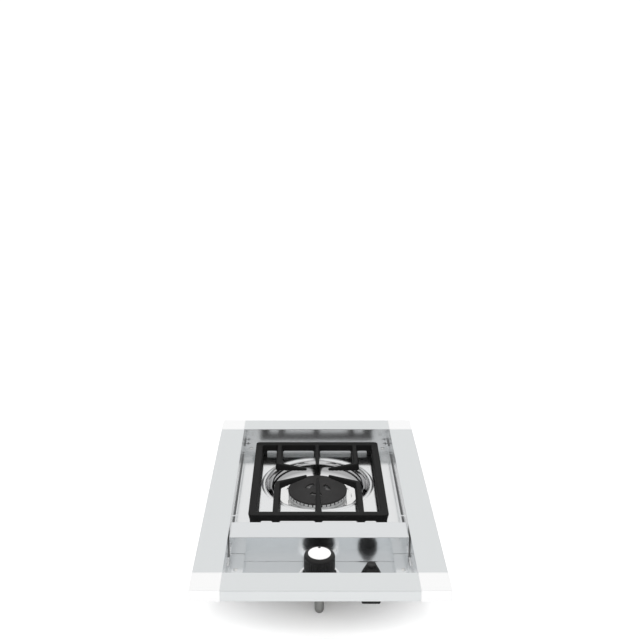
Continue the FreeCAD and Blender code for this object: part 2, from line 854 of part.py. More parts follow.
def burner_box():
    sheet = size["box_sheet"]
    outer_x = (-wall_half - sheet, wall_half + sheet)
    inner_x = (-wall_half, wall_half)
    clear = rail_under + sheet
    pan_outer = block("pan_outer", outer_x, (bulkhead_front, wall_end + sheet), (box_bottom, rail_under))
    bay_outer = block("bay_outer", outer_x, (-front_wall - sheet, bulkhead_back), (bay_bottom, rail_under))
    pan_inner = block("pan_inner", inner_x, (bulkhead_back, wall_end), (box_floor, clear))
    bay_floor = top - size["bulkhead_drop"]
    bay_inner = block("bay_inner", inner_x, (-front_wall, bulkhead_back), (bay_floor, clear))
    flange_z = (rail_under - sheet, rail_under)
    side_y = opening_end - size["tongue_length"] - size["relief_width"]
    end_x = opening_half - size["tongue_length"] - size["relief_width"]
    flange = size["box_flange"]
    flanges = both_sides("side_flange", (wall_half, wall_half + flange), (-side_y, side_y), flange_z)
    flanges.append(block("back_flange", (-end_x, end_x), (wall_end, wall_end + flange), flange_z))
    flanges.append(block("front_flange", (-end_x, end_x), (-front_wall - flange, -front_wall), flange_z))
    tools = [pan_inner, bay_inner]
    notch_x = (end_x, wall_half + flange)
    notch_z = (rail_under - size["tongue_thickness"] - size["tongue_clearance"], clear)
    tools += both_sides("back_notch", notch_x, (side_y, wall_end + flange), notch_z)
    tools += both_sides("front_notch", notch_x, (-front_wall - flange, -side_y), notch_z)
    for index, (x, y) in enumerate(stud_places()):
        hole = size["stud_radius"] + size["stud_clearance"]
        tools.append(rod("stud_hole_%d" % index, hole, x, y, rail_under - sheet * 2, clear))
    tube_hole = size["tube_radius"] + size["tube_clearance"]
    tools.append(rod_back("tube_hole", tube_hole, 0, tube_z, bulkhead_front - sheet, bulkhead_back + sheet))
    lead_z = top - size["lead_hole_drop"]
    tools.append(rod_back("lead_hole", size["lead_hole"], size["lead_x"], lead_z,
                          bulkhead_front - sheet, bulkhead_back + sheet))
    half = size["vent_length"] / 2
    vents = int(size["vent_count"].number)
    for index in range(vents):
        middle = size["vent_offset"] + size["vent_pitch"] * (index - (vents - 1) / 2)
        x = (middle - size["vent_width"] / 2, middle + size["vent_width"] / 2)
        y = (size["burner_y"] - half, size["burner_y"] + half)
        tools += both_sides("vent_%d" % index, x, y, (box_bottom - sheet, box_floor + sheet))
    body = joined("box_sheets", [pan_outer, bay_outer] + flanges)
    return keep(less("box_cut", body, joined("box_tools", tools)), "burner_box")


def deck_screw_places():
    rows = (shelf_back + size["deck_screw_front"], wall_end - size["deck_screw_back"])
    return [(x, y) for y in rows for x in (-screw_x, screw_x)]


def panel_screw_places():
    return [(-screw_x, size["control_y"]), (screw_x, size["control_y"])]


def brackets():
    """Folded angles on the side walls that carry the deck and the control panel."""
    made = []
    supports = [(place_at, deck_under, size["bracket_leg"]) for place_at in deck_screw_places()]
    supports += [(place_at, ledge_under, ledge_under - bay_bottom) for place_at in panel_screw_places()]
    half = size["bracket_length"] / 2
    sheet = size["bracket_sheet"]
    for index, ((x, y), under, leg) in enumerate(supports):
        side = -1 if x.number < 0 else 1
        span = (y - half, y + half)
        wall = [wall_half * side, (wall_half - sheet) * side]
        reach = [wall_half * side, (wall_half - size["bracket_reach"]) * side]
        wall = (wall[1], wall[0]) if side > 0 else (wall[0], wall[1])
        reach = (reach[1], reach[0]) if side > 0 else (reach[0], reach[1])
        leg_block = block("bracket_leg_%d" % index, wall, span, (under - leg, under))
        arm = block("bracket_arm_%d" % index, reach, span, (under - sheet, under))
        angle = joined("bracket_%d" % index, [leg_block, arm])
        hole = rod("bracket_hole_%d" % index, size["screw_hole"], x, y, under - sheet * 2, under + sheet)
        made.append(less("bracket_bored_%d" % index, angle, hole))
    return keep(group("bracket_group", made), "deck_brackets")


def screws(name, places, face, head_radius, points_up=False):
    """Dome-headed screws whose heads rest on a face."""
    way = -1 if points_up else 1
    rim = size["screw_rim"]
    rise = size["screw_head_height"] - rim
    dome = (head_radius * head_radius + rise * rise) / (rise * 2)
    shank = size["screw_radius"]
    made = []
    for index, (x, y) in enumerate(places):
        profile = [
            (0, face - size["screw_length"] * way), (shank, face - size["screw_length"] * way), (shank, face),
            (head_radius, face), (head_radius, face + rim * way, dome * way),
            (0, face + size["screw_head_height"] * way),
        ]
        made.append(turned("%s_%d" % (name, index), profile, x, y))
    return keep(group(name + "_group", made), name)


def deck_panel():
    """The bright deck, with a round opening for the bowl and tabs that touch the walls."""
    sheet_z = (deck_under, deck_top)
    plate = block("deck_plate", (-deck_half, deck_half), (bulkhead_back, wall_end), sheet_z)
    tabs = []
    for index, y in enumerate((size["deck_tab_front"], wall_end - size["deck_tab_inset"])):
        span = (y - size["deck_tab"] / 2, y + size["deck_tab"] / 2)
        tabs += both_sides("deck_tab_%d" % index, (deck_half, wall_half), span, sheet_z)
    cut_z = (deck_under - size["deck_sheet"], deck_top + size["deck_sheet"])
    hole = bowl_opening + size["bowl_clearance"]
    tools = [rod("deck_opening", hole, 0, size["burner_y"], cut_z[0], cut_z[1])]
    for index, (x, y) in enumerate(deck_screw_places()):
        tools.append(rod("deck_screw_hole_%d" % index, size["screw_hole"], x, y, cut_z[0], cut_z[1]))
    for index, (x, y) in enumerate(shelf_screw_places()):
        tools.append(rod("deck_shelf_hole_%d" % index, size["screw_hole"], x, y, cut_z[0], cut_z[1]))
    long = size["relief_length"] / 2
    thin = size["relief_width"] / 2
    x = deck_half - long
    y = wall_end - size["relief_length"]
    tools += both_sides("relief_long", (x - long, x + long), (y - thin, y + thin), cut_z)
    tools += both_sides("relief_wide", (x - thin, x + thin), (y - long, y + long), cut_z)
    sheets = joined("deck_sheets", [plate] + tabs)
    return keep(less("deck_cut", sheets, joined("deck_tools", tools)), "deck_panel")


def shelf_screw_places():
    y = shelf_back - size["shelf_sheet"] - size["shelf_foot"] / 2
    x = deck_half - size["shelf_screw_inset"]
    return [(-x, y), (x, y)]


def cross_shelf():
    """A folded shelf: its front leg is the back wall of the control bay."""
    front = size["shelf_front"]
    face = top - size["shelf_drop"]
    sheet = size["shelf_sheet"]
    bend = size["bend_radius"]
    under = face - sheet
    toe = shelf_back - sheet - size["shelf_foot"]
    section = [
        (shelf_back, deck_top), (shelf_back, face - bend, bend),
        (shelf_back - bend, face), (front + bend, face, bend),
        (front, face - bend), (front, ledge_under),
        (front + sheet, ledge_under), (front + sheet, face - bend, sheet - bend),
        (front + bend, under), (shelf_back - bend, under, sheet - bend),
        (shelf_back - sheet, face - bend), (shelf_back - sheet, deck_top + sheet),
        (toe, deck_top + sheet), (toe, deck_top),
    ]
    half = wall_half - size["shelf_gap"]
    body = new_body("cross_shelf_fold")
    padded(body, "shelf_section", [section], -half, half, "YZ_Plane")
    apron = rectangle((-trough_half, trough_half), (front, front + sheet))
    padded(body, "shelf_apron", [apron], trough_under, ledge_under)
    place(body)
    tools = []
    for index, (x, y) in enumerate(shelf_screw_places()):
        low = deck_top - sheet
        tools.append(rod("shelf_hole_%d" % index, size["screw_hole"], x, y, low, deck_top + sheet * 2))
    return keep(less("shelf_cut", body, joined("shelf_tools", tools)), "cross_shelf")


def valve_screw_places():
    half = size["valve_screw_spacing"] / 2
    return [(-half, size["control_y"]), (half, size["control_y"])]


def control_panel():
    """The pressed panel under the knob: two ledges and a sunk floor between them."""
    sheet = size["panel_sheet"]
    front = size["shelf_front"]
    ledges = block("ledges", (-deck_half, deck_half), (-front_wall, front), (ledge_under, ledge_top))
    trough_outer = block("trough_outer", (-trough_half - sheet, trough_half + sheet),
                         (size["trough_front"] - sheet, front), (trough_under, ledge_top))
    trough_inner = block("trough_inner", (-trough_half, trough_half),
                         (size["trough_front"], front + sheet), (trough_top, ledge_top + sheet))
    low = trough_under - sheet
    high = ledge_top + sheet
    y = size["control_y"]
    gap = size["panel_hole_clearance"]
    tools = [trough_inner]
    tools.append(rod("panel_bonnet_hole", size["bonnet_radius"] + gap, 0, y, low, high))
    tools.append(rod("panel_igniter_hole", size["igniter_neck"] + gap, size["igniter_x"], y, low, high))
    for index, (x, y) in enumerate(valve_screw_places() + panel_screw_places()):
        tools.append(rod("panel_screw_hole_%d" % index, size["screw_hole"], x, y, low, high))
    sheets = joined("panel_sheets", [ledges, trough_outer])
    return keep(less("panel_cut", sheets, joined("panel_tools", tools)), "control_panel")


# Cooking grate

def bar_section(x, y, way, width, height, share):
    """The cross-section of a bar, square to its way, hanging from the top of the grate."""
    chamfer = size["bar_chamfer"].number * share
    shoulder = width / 2 - size["bar_slope"].number * share
    side = FreeCAD.Vector(-way.y, way.x, 0)
    base = FreeCAD.Vector(x, y, grate_top.number)
    down = FreeCAD.Vector(0, 0, -1)
    corners = [(-width / 2, height), (width / 2, height), (shoulder, chamfer),
               (shoulder - chamfer, 0), (chamfer - shoulder, 0), (-shoulder, chamfer)]
    points = [base + side * across + down * drop for across, drop in corners]
    return Part.makePolygon(points + [points[0]])


def grate_bar(name, start, end, tapers):
    """A bar of the grate; a finger narrows and thins towards its tip."""
    width = size["bar_width"].number
    height = size["grate_height"].number
    tip = (size["tip_width"].number, size["tip_height"].number) if tapers else (width, height)
    (x0, y0), (x1, y1) = [(length(x).number, length(y).number) for x, y in (start, end)]
    way = FreeCAD.Vector(x1 - x0, y1 - y0, 0).normalize()
    first = bar_section(x0, y0, way, width, height, 1.0)
    last = bar_section(x1, y1, way, tip[0], tip[1], tip[0] / width)
    feature = doc.addObject("Part::Feature", name)
    feature.Shape = Part.makeLoft([first, last], True, True)
    place(feature)
    return feature


def grate_frame():
    body = new_body("grate_frame")
    x = (-size["grate_width"] / 2, size["grate_width"] / 2)
    y = (size["grate_front"], size["grate_back"])
    wall = size["frame_width"]
    curve = size["grate_corner"]
    outer = rounded_rectangle(x, y, curve)
    inner = rounded_rectangle((x[0] + wall, x[1] - wall), (y[0] + wall, y[1] - wall), curve / 2)
    ring = padded(body, "grate_ring", [outer, inner], grate_under, grate_top)
    doc.recompute()
    bevel = body.newObject("PartDesign::Chamfer", "grate_bevel")
    bevel.Base = (ring, top_edges(ring, grate_top))
    bind(bevel, "Size", size["bar_chamfer"])
    body.Tip = bevel
    place(body)
    return body


def grate():
    middle = size["burner_y"]
    spacing = size["bar_spacing"]
    half_bar = size["bar_width"] / 2
    front = size["grate_front"] + half_bar
    back = size["grate_back"] - half_bar
    reach = size["diagonal_reach"]
    knuckle = half_bar - size["elbow_inset"]
    pieces = [grate_frame()]
    pieces.append(grate_bar("finger_front", (0, front), (0, middle - size["front_tip"]), True))
    pieces.append(grate_bar("finger_back", (0, back), (0, middle + size["back_tip"]), True))
    for side, word in ((-1, "left"), (1, "right")):
        x = spacing * side
        for end, root, tip in (
            (front, middle - size["front_root"], middle - size["front_offset"]),
            (back, middle + size["back_root"], middle + size["back_offset"]),
        ):
            label = "%s_%s" % (word, "front" if end is front else "back")
            pieces.append(grate_bar("bar_" + label, (x, end), (x, root), False))
            pieces.append(grate_bar("finger_" + label, (x, root), (reach * side, tip), True))
            shoulder = knuckle - size["bar_slope"]
            elbow = [(0, grate_under), (knuckle, grate_under), (shoulder, grate_top - size["bar_chamfer"]),
                     (shoulder - size["bar_chamfer"], grate_top), (0, grate_top)]
            pieces.append(turned("elbow_" + label, elbow, x, root))
    foot_z = (deck_top + size["foot_clearance"], grate_under + size["bar_chamfer"])
    inset = size["foot_inset"]
    outer = size["grate_width"] / 2 - inset
    rows = ((size["grate_front"] + inset, size["grate_front"] + size["frame_width"]),
            (size["grate_back"] - size["frame_width"], size["grate_back"] - inset))
    for row, y in enumerate(rows):
        pieces += both_sides("corner_foot_%d" % row, (outer - size["corner_foot"], outer), y, foot_z)
        for index in (-1, 0, 1):
            x = spacing * index
            half = size["foot_width"] / 2
            pieces.append(block("foot_%d_%d" % (row, index + 1), (x - half, x + half), y, foot_z))
    return keep(joined("grate_casting", pieces), "grate")


# Burner and its bowl

def drip_bowl():
    """A round bowl whose lip lies on the deck and rolls down into the curved wall."""
    sheet = size["bowl_sheet"]
    lip = size["bowl_lip"]
    rim = bowl_opening + size["bowl_rim"]
    hole = bowl_hole
    turn_z = deck_top + sheet - lip * bowl_turn
    under_x = bowl_radius + sheet * sine(size["bowl_slope"])
    under_z = turn_z - sheet * cosine(size["bowl_slope"])
    profile = [
        (hole, bowl_under), (bowl_floor_radius, bowl_under, bowl_curve + sheet),
        (under_x, under_z, sheet - lip), (bowl_opening, deck_top), (rim, deck_top), (rim, deck_top + sheet),
        (bowl_opening, deck_top + sheet, lip), (bowl_radius, turn_z, -bowl_curve),
        (bowl_floor_radius, bowl_floor), (hole, bowl_floor),
    ]
    shell = turned("bowl_shell", profile, 0, size["burner_y"])
    tools = burner_holes("bowl", bowl_under - sheet, bowl_floor + sheet)
    return keep(less("bowl_cut", shell, joined("bowl_tools", tools)), "drip_bowl")


def burner_screw_places():
    count = int(size["burner_screw_count"].number)
    circle = size["cap_radius"] + size["burner_screw_reach"]
    places = []
    for index in range(count):
        angle = size["burner_screw_start"] + 360 * index / count
        places.append((circle * cosine(angle), size["burner_y"] + circle * sine(angle)))
    return places


def electrode_place():
    circle = size["cap_radius"] + size["electrode_reach"]
    angle = size["electrode_angle"]
    return circle * cosine(angle), size["burner_y"] + circle * sine(angle)


def burner_holes(name, low, high):
    """The screw and electrode holes that the bowl and the base share."""
    tools = []
    for index, (x, y) in enumerate(burner_screw_places()):
        tools.append(rod("%s_screw_hole_%d" % (name, index), size["screw_hole"], x, y, low, high))
    x, y = electrode_place()
    tools.append(rod(name + "_electrode_hole", size["insulator_hole"], x, y, low, high))
    return tools


def burner_base():
    """The cast cup under the bowl, which spreads the gas and takes the mixing tube."""
    outer = base_inner + size["base_wall"]
    flange_under = bowl_under - size["base_flange_thickness"]
    floor = base_bottom + size["base_wall"]
    cup = turned("base_cup", [
        (0, base_bottom), (outer, base_bottom), (outer, flange_under),
        (base_flange, flange_under), (base_flange, bowl_under),
        (base_inner, bowl_under), (base_inner, floor), (0, floor),
    ], 0, size["burner_y"])
    cavity = turned("base_cavity", [
        (0, floor), (base_inner, floor), (base_inner, bowl_under), (0, bowl_under),
    ], 0, size["burner_y"])
    seat = size["burner_y"] - outer
    back = size["burner_y"] - base_inner
    socket_outer = size["tube_radius"] + size["socket_clearance"] + size["socket_wall"]
    socket = rod_back("base_socket", socket_outer, 0, tube_z, seat - size["socket_length"], back)
    bore = rod_back("base_socket_bore", size["tube_radius"] + size["socket_clearance"], 0, tube_z,
                    seat - size["socket_length"] * 2, seat)
    inlet = rod_back("base_inlet", tube_bore, 0, tube_z, seat - size["socket_length"], size["burner_y"])
    holes = burner_holes("base", flange_under - overshoot, bowl_under + overshoot)
    tools = joined("base_tools", [cavity, bore, inlet] + holes)
    return keep(less("base_cut", joined("base_casting", [cup, socket]), tools), "burner_base")


def burner_crown():
    """The ring with the flame ports, which lifts out of the base."""
    outer = crown_radius
    wall = outer - size["crown_wall"]
    spigot = base_inner - size["spigot_clearance"]
    bore = spigot - size["spigot_wall"]
    floor = crown_bottom + size["hub_thickness"]
    body = turned("burner_crown", [
        (bore, crown_bottom - size["crown_spigot"]), (spigot, crown_bottom - size["crown_spigot"]),
        (spigot, crown_bottom), (outer, crown_bottom), (outer, crown_top),
        (wall, crown_top), (wall, floor), (bore, floor),
    ], 0, size["burner_y"])
    hub_top = crown_top - size["hub_sink"]
    hub_low = hub_top - size["hub_thickness"]
    half = size["spoke_width"] / 2
    arm = rectangle((0, wall + size["hub_thickness"] / 2), (-half, half))
    spoke = padded(body, "crown_spoke", [arm], hub_low, hub_top)
    doc.recompute()
    repeated(body, "crown_spokes", spoke, size["spoke_count"])
    doc.recompute()
    hub = new_sketch(body, "crown_hub_outline", "XY_Plane", hub_low)
    circle_at(hub, 0, 0, size["hub_radius"], "c")
    disc = body.newObject("PartDesign::Pad", "crown_hub")
    disc.Profile = hub
    bind(disc, "Length", size["hub_thickness"])
    body.Tip = disc
    doc.recompute()
    before = body.Shape.Volume
    half = size["port_width"] / 2
    port = rectangle((wall - overshoot, outer + overshoot), (-half, half))
    slot = pocketed(body, "crown_port", [port], crown_top, size["port_height"])
    doc.recompute()
    repeated(body, "crown_ports", slot, size["port_count"])
    doc.recompute()
    print("crown ports cut away %.0f mm3" % (before - body.Shape.Volume))
    return keep(body, "burner_crown")


def burner_cap():
    """The enamelled lid of the burner, with three curved openings."""
    radius = size["cap_radius"]
    edge = size["cap_edge"]
    ring = crown_radius - size["crown_wall"] - size["spigot_clearance"]
    bore = ring - size["cap_ring_wall"]
    body = turned("burner_cap", [
        (0, cap_under), (bore, cap_under), (bore, cap_under - size["cap_ring_height"]),
        (ring, cap_under - size["cap_ring_height"]), (ring, cap_under), (radius, cap_under),
        (radius, cap_top - edge, edge), (radius - edge, cap_top), (0, cap_top),
    ], 0, size["burner_y"])
    doc.recompute()
    before = body.Shape.Volume
    half = size["slot_width"] / 2
    inner = size["slot_radius"] - half
    outer = size["slot_radius"] + half
    opening = sector(inner, outer, size["slot_start"], size["slot_angle"])
    slot = pocketed(body, "cap_slot", [opening], cap_top, size["cap_thickness"])
    doc.recompute()
    repeated(body, "cap_slots", slot, size["slot_count"])
    doc.recompute()
    print("cap slots cut away %.0f mm3" % (before - body.Shape.Volume))
    return keep(body, "burner_cap")


def mixing_tube():
    back = size["burner_y"] - base_inner - size["base_wall"]
    front = size["tube_front"]
    outer = rod_back("tube_outer", size["tube_radius"], 0, tube_z, front, back)
    bore = rod_back("tube_bore", tube_bore, 0, tube_z, front - overshoot, back + overshoot)
    tools = joined("tube_tools", [bore, air_window("tube_window")])
    return keep(less("tube_cut", outer, tools), "mixing_tube")


def air_window(name):
    """The two side openings that let air into the tube."""
    middle = size["tube_front"] + size["shutter_inset"] + size["shutter_length"] / 2
    span = (middle - size["shutter_window"] / 2, middle + size["shutter_window"] / 2)
    across = size["tube_radius"] * 2
    half = size["shutter_window_height"] / 2
    return block(name, (-across, across), span, (tube_z - half, tube_z + half))


def air_shutter():
    """The collar that turns on the tube to meter the air."""
    inner = size["tube_radius"] + size["shutter_clearance"]
    front = size["tube_front"] + size["shutter_inset"]
    back = front + size["shutter_length"]
    ring = rod_back("shutter_outer", inner + size["shutter_wall"], 0, tube_z, front, back)
    bore = rod_back("shutter_bore", inner, 0, tube_z, front - overshoot, back + overshoot)
    tools = joined("shutter_tools", [bore, air_window("shutter_opening")])
    return keep(less("shutter_cut", ring, tools), "air_shutter")


def burner_support():
    """A folded strap on the floor of the box that carries the burner."""
    half_width = size["support_width"] / 2
    half = size["support_length"] / 2
    sheet = size["support_sheet"]
    x = (-half_width, half_width)
    front = size["burner_y"] - half
    back = size["burner_y"] + half
    pieces = [block("support_top", x, (front, back), (base_bottom - sheet, base_bottom))]
    pieces.append(block("support_front", x, (front, front + sheet), (box_floor, base_bottom)))
    pieces.append(block("support_back", x, (back - sheet, back), (box_floor, base_bottom)))
    return keep(joined("support_strap", pieces), "burner_support")


# Spark igniter

def insulator():
    x, y = electrode_place()
    radius = size["insulator_radius"]
    flange_under = bowl_under - size["base_flange_thickness"]
    collar_low = flange_under - size["insulator_collar_height"]
    bottom = top - size["insulator_bottom_drop"]
    high = top - size["insulator_top_drop"]
    body = turned("electrode_insulator", [
        (size["electrode_radius"], bottom), (radius, bottom), (radius, collar_low),
        (size["insulator_collar"], collar_low), (size["insulator_collar"], flange_under),
        (radius, flange_under), (radius, high), (size["electrode_radius"], high),
    ], x, y)
    keep(body, "electrode_insulator")
    ring_high = bowl_floor + size["insulator_ring_height"]
    ring = turned("electrode_clip", [
        (radius, bowl_floor), (size["insulator_ring"], bowl_floor), (size["insulator_ring"], ring_high),
        (radius, ring_high),
    ], x, y)
    keep(ring, "electrode_clip")
    pin_top = top - size["electrode_top_drop"]
    keep(rod("electrode_rod", size["electrode_radius"], x, y, bottom, pin_top), "electrode_pin")
    half = size["boot_width"] / 2
    boot = block("boot_block", (x - half, x - half + size["boot_length"]), (y - half, y + half),
                 (bottom - size["boot_height"], bottom))
    keep(boot, "electrode_boot")


def lead_points():
    """The ignition lead's route: out of the boot, along the floor and up to the igniter."""
    x, y = electrode_place()
    start_x = x - size["boot_width"] / 2 + size["boot_length"]
    start_z = top - size["insulator_bottom_drop"] - size["boot_height"] / 2
    low = top - size["lead_drop"]
    high = top - size["lead_hole_drop"]
    end_y = size["control_y"] + size["igniter_width"] / 2 + size["terminal_length"]
    across = size["lead_x"]
    rise_end = size["lead_rise"] - size["lead_ramp"]
    route = [
        (start_x, y, start_z), (across, y, start_z), (across, size["lead_dip"], low),
        (across, size["lead_rise"], low), (across, rise_end, high), (across, end_y, high),
    ]
    return [FreeCAD.Vector(*[length(value).number for value in point]) for point in route]


def ignition_lead():
    points = lead_points()
    start = points[0]
    local = [point - start for point in points]
    bends = ("lead_exit_bend", "lead_floor_bend", "lead_rise_bend", "lead_rise_bend")
    radii = [size[bend].number for bend in bends]
    path = path_of(local, radii)
    radius = size["lead_radius"].number
    feature = doc.addObject("Part::Feature", "lead_wire")
    feature.Shape = tube_along(path, radius)
    place(feature, start.x, start.y, start.z)
    ideal = math.pi * radius * radius * path.Length
    print("ignition lead: %.0f mm long, volume %.4f of its section times its length, radii %s"
          % (path.Length, feature.Shape.Volume / ideal, radii))
    return keep(feature, "ignition_lead")


def lead_clips():
    """Two clips on the floor of the box that hold the lead."""
    made = []
    x = size["lead_x"]
    z = top - size["lead_drop"]
    wall = size["clip_wall"]
    inner = size["lead_radius"]
    for index, y in enumerate((size["lead_clip_back"], size["lead_clip_front"])):
        half = size["clip_width"] / 2
        ring = rod_back("clip_ring_%d" % index, inner + wall, x, z, y - half, y + half)
        foot = block("clip_foot_%d" % index, (x, x + inner + size["clip_foot"]), (y - half, y + half),
                     (box_floor, box_floor + wall))
        neck = block("clip_neck_%d" % index, (x - inner / 2, x + inner), (y - half, y + half), (box_floor, z))
        bore = rod_back("clip_bore_%d" % index, inner, x, z, y - half * 2, y + half * 2)
        made.append(less("clip_%d" % index, joined("clip_solid_%d" % index, [ring, foot, neck]), bore))
    return keep(group("clip_group", made), "lead_clips")


def igniter_housing():
    body = new_body("igniter_case")
    half = size["igniter_width"] / 2
    square = rounded_rectangle((-half, half), (-half, half), size["igniter_round"])
    padded(body, "igniter_block", [square], igniter_bottom, trough_under)
    place(body, size["igniter_x"], size["control_y"], 0)
    x = size["igniter_x"]
    y = size["control_y"]
    neck_top = trough_under + size["igniter_neck_height"]
    neck = rod("igniter_neck", size["igniter_neck"], x, y, igniter_bottom, neck_top)
    terminal_z = top - size["lead_hole_drop"]
    terminal = rod_back("igniter_terminal", size["terminal_radius"], size["lead_x"], terminal_z,
                        y + half - overshoot, y + half + size["terminal_length"])
    well = rod("igniter_well", size["igniter_well"], x, y, igniter_floor, button_stop)
    bore = rod("igniter_bore", size["igniter_bore"], x, y, igniter_floor, neck_top + overshoot)
    case = joined("igniter_solid", [body, neck, terminal])
    keep(less("igniter_cut", case, joined("igniter_tools", [well, bore])), "igniter_housing")
    piezo = rod("piezo_rod", size["piezo_radius"], x, y, igniter_floor, igniter_floor + size["piezo_height"])
    keep(piezo, "piezo_element")


def igniter_collar():
    """The black flanged nut above the panel that guides the button."""
    bore = size["igniter_bore"]
    base = size["collar_radius"]
    thread = size["igniter_neck"] + size["collar_clearance"]
    neck_top = trough_under + size["igniter_neck_height"] + size["collar_clearance"]
    high = top - size["collar_top_drop"]
    profile = [
        (thread, trough_top), (base, trough_top), (base, trough_top + size["collar_base"]),
        (size["collar_flare_radius"], top - size["collar_flare_drop"]),
        (size["collar_shoulder_radius"], top - size["collar_shoulder_drop"]),
        (size["collar_neck_radius"], top - size["collar_neck_drop"]), (size["collar_top_radius"], high),
        (bore, high), (bore, neck_top), (thread, neck_top),
    ]
    return keep(turned("igniter_collar", profile, size["igniter_x"], size["control_y"]), "igniter_collar")


def igniter_button():
    radius = size["button_radius"]
    high = top - size["button_drop"]
    edge = size["button_edge"]
    foot_top = button_seat + size["button_foot_height"]
    profile = [
        (0, button_seat), (size["button_foot"], button_seat), (size["button_foot"], foot_top),
        (radius, foot_top), (radius, high - edge, edge), (radius - edge, high), (0, high),
    ]
    keep(turned("igniter_button", profile, size["igniter_x"], size["control_y"]), "igniter_button")
    mean = size["igniter_well"] - size["spring_side_gap"] - size["spring_wire"]
    coil("button_spring", size["igniter_x"], size["control_y"], igniter_floor, button_seat, mean,
         size["button_spring_turns"])


# Gas valve

def flatted(name, radius, flat, low, high):
    """An upright rod with a flat along one side."""
    y = size["control_y"]
    round_rod = rod(name + "_rod", radius, 0, y, low, high)
    ends = (low - overshoot, high + overshoot)
    side = block(name + "_flat", (-radius * 2, radius * 2), (y + flat, y + radius * 2), ends)
    return less(name + "_flatted", round_rod, side)


def valve_body():
    y = size["control_y"]
    bottom = top - size["valve_bottom_drop"]
    plug_low = top - size["plug_bottom_drop"] - size["plug_end_gap"]
    flange_low = trough_under - size["valve_flange_thickness"]
    half_x = size["valve_flange_length"] / 2
    half_y = size["valve_flange_width"] / 2
    flange = block("valve_flange", (-half_x, half_x), (y - half_y, y + half_y), (flange_low, trough_under))
    barrel_low = top - size["valve_barrel_drop"]
    barrel = rod("valve_barrel", size["valve_radius"], 0, y, barrel_low, trough_under)
    boss = rod("valve_inlet_boss", size["valve_boss"], 0, y, bottom, trough_under)
    outlet = rod_back("valve_outlet", size["outlet_radius"], 0, tube_z, y, y + size["outlet_length"])
    tools = [rod("valve_bore", valve_bore, 0, y, plug_low, trough_under)]
    thread = size["bonnet_radius"] + size["bonnet_clearance"]
    over_panel = trough_under + overshoot
    outlet_end = y + size["outlet_length"] + overshoot
    tools.append(rod("valve_thread", thread, 0, y, bonnet_bottom, over_panel))
    tools.append(rod("valve_inlet", size["inlet_bore"], 0, y, bottom - overshoot, plug_low + overshoot))
    tools.append(rod_back("valve_passage", size["outlet_bore"], 0, tube_z, y, outlet_end))
    for index, (x, along) in enumerate(valve_screw_places()):
        low = flange_low - overshoot
        tools.append(rod("valve_screw_hole_%d" % index, size["screw_hole"], x, along, low, over_panel))
    casting = joined("valve_casting", [flange, barrel, boss, outlet])
    keep(less("valve_cut", casting, joined("valve_tools", tools)), "valve_body")


def valve_bonnet():
    """The threaded guide that holds the plug down and the stem upright."""
    outer = size["bonnet_radius"]
    high = top - size["bonnet_top_drop"]
    roof = high - size["bonnet_roof"]
    profile = [
        (size["bonnet_bore"], bonnet_bottom), (outer, bonnet_bottom), (outer, high), (stem_bore, high),
        (stem_bore, roof), (size["bonnet_bore"], roof),
    ]
    keep(turned("valve_bonnet", profile, 0, size["control_y"]), "valve_bonnet")


def valve_plug():
    y = size["control_y"]
    bottom = top - size["plug_bottom_drop"]
    bore_low = plug_top - size["plug_bore_depth"]
    solid = rod("plug_solid", size["plug_radius"], 0, y, bottom, plug_top)
    flat = size["stem_flat"] + size["stem_clearance"]
    drive = flatted("plug_drive", stem_bore, flat, bore_low, plug_top + overshoot)
    port = rod_back("plug_port", size["plug_port"], 0, tube_z, y, y + size["plug_radius"] * 2)
    inlet = rod("plug_inlet", size["plug_port"], 0, y, bottom - overshoot, bore_low + overshoot)
    keep(less("plug_cut", solid, joined("plug_tools", [drive, port, inlet])), "valve_plug")


def valve_stem():
    y = size["control_y"]
    low = top - size["stem_bottom_drop"]
    high = top - size["stem_top_drop"]
    shaft = rod("stem_shaft", size["stem_radius"], 0, y, low, high)
    across = (-size["stem_radius"], size["stem_radius"])
    back = (y + size["stem_flat"], y + size["stem_radius"] * 2)
    flat_low = block("stem_flat_low", across, back, (low - overshoot, spring_top))
    hub_under = top - size["knob_hub_drop"]
    flat_high = block("stem_flat_high", across, back, (hub_under, high + overshoot))
    cut = less("stem_cut", shaft, joined("stem_flats", [flat_low, flat_high]))
    collar = rod("stem_collar", size["stem_collar"], 0, y, spring_top, collar_top)
    keep(joined("stem_solid", [cut, collar]), "valve_stem")
    mean = size["stem_radius"] + size["spring_side_gap"] + size["spring_wire"]
    coil("valve_spring", 0, y, plug_top, spring_top, mean, size["valve_spring_turns"])


def injector():
    """The brass jet between the valve's outlet and the mixing tube."""
    front = size["control_y"] + size["outlet_length"]
    hex_end = front + size["injector_hex_length"]
    end = front + size["injector_length"]
    hexagon = hexagon_back("injector_hex", size["injector_hex"], 0, tube_z, front, hex_end)
    tip = rod_back("injector_tip", size["injector_tip"], 0, tube_z, front, end)
    inlet_end = end - size["injector_tip"]
    inlet = rod_back("injector_inlet", size["injector_inlet"] / 2, 0, tube_z, front - overshoot, inlet_end)
    jet = rod_back("injector_jet", size["injector_bore"], 0, tube_z, front, end + overshoot)
    solid = joined("injector_solid", [hexagon, tip])
    keep(less("injector_cut", solid, joined("injector_tools", [inlet, jet])), "gas_injector")


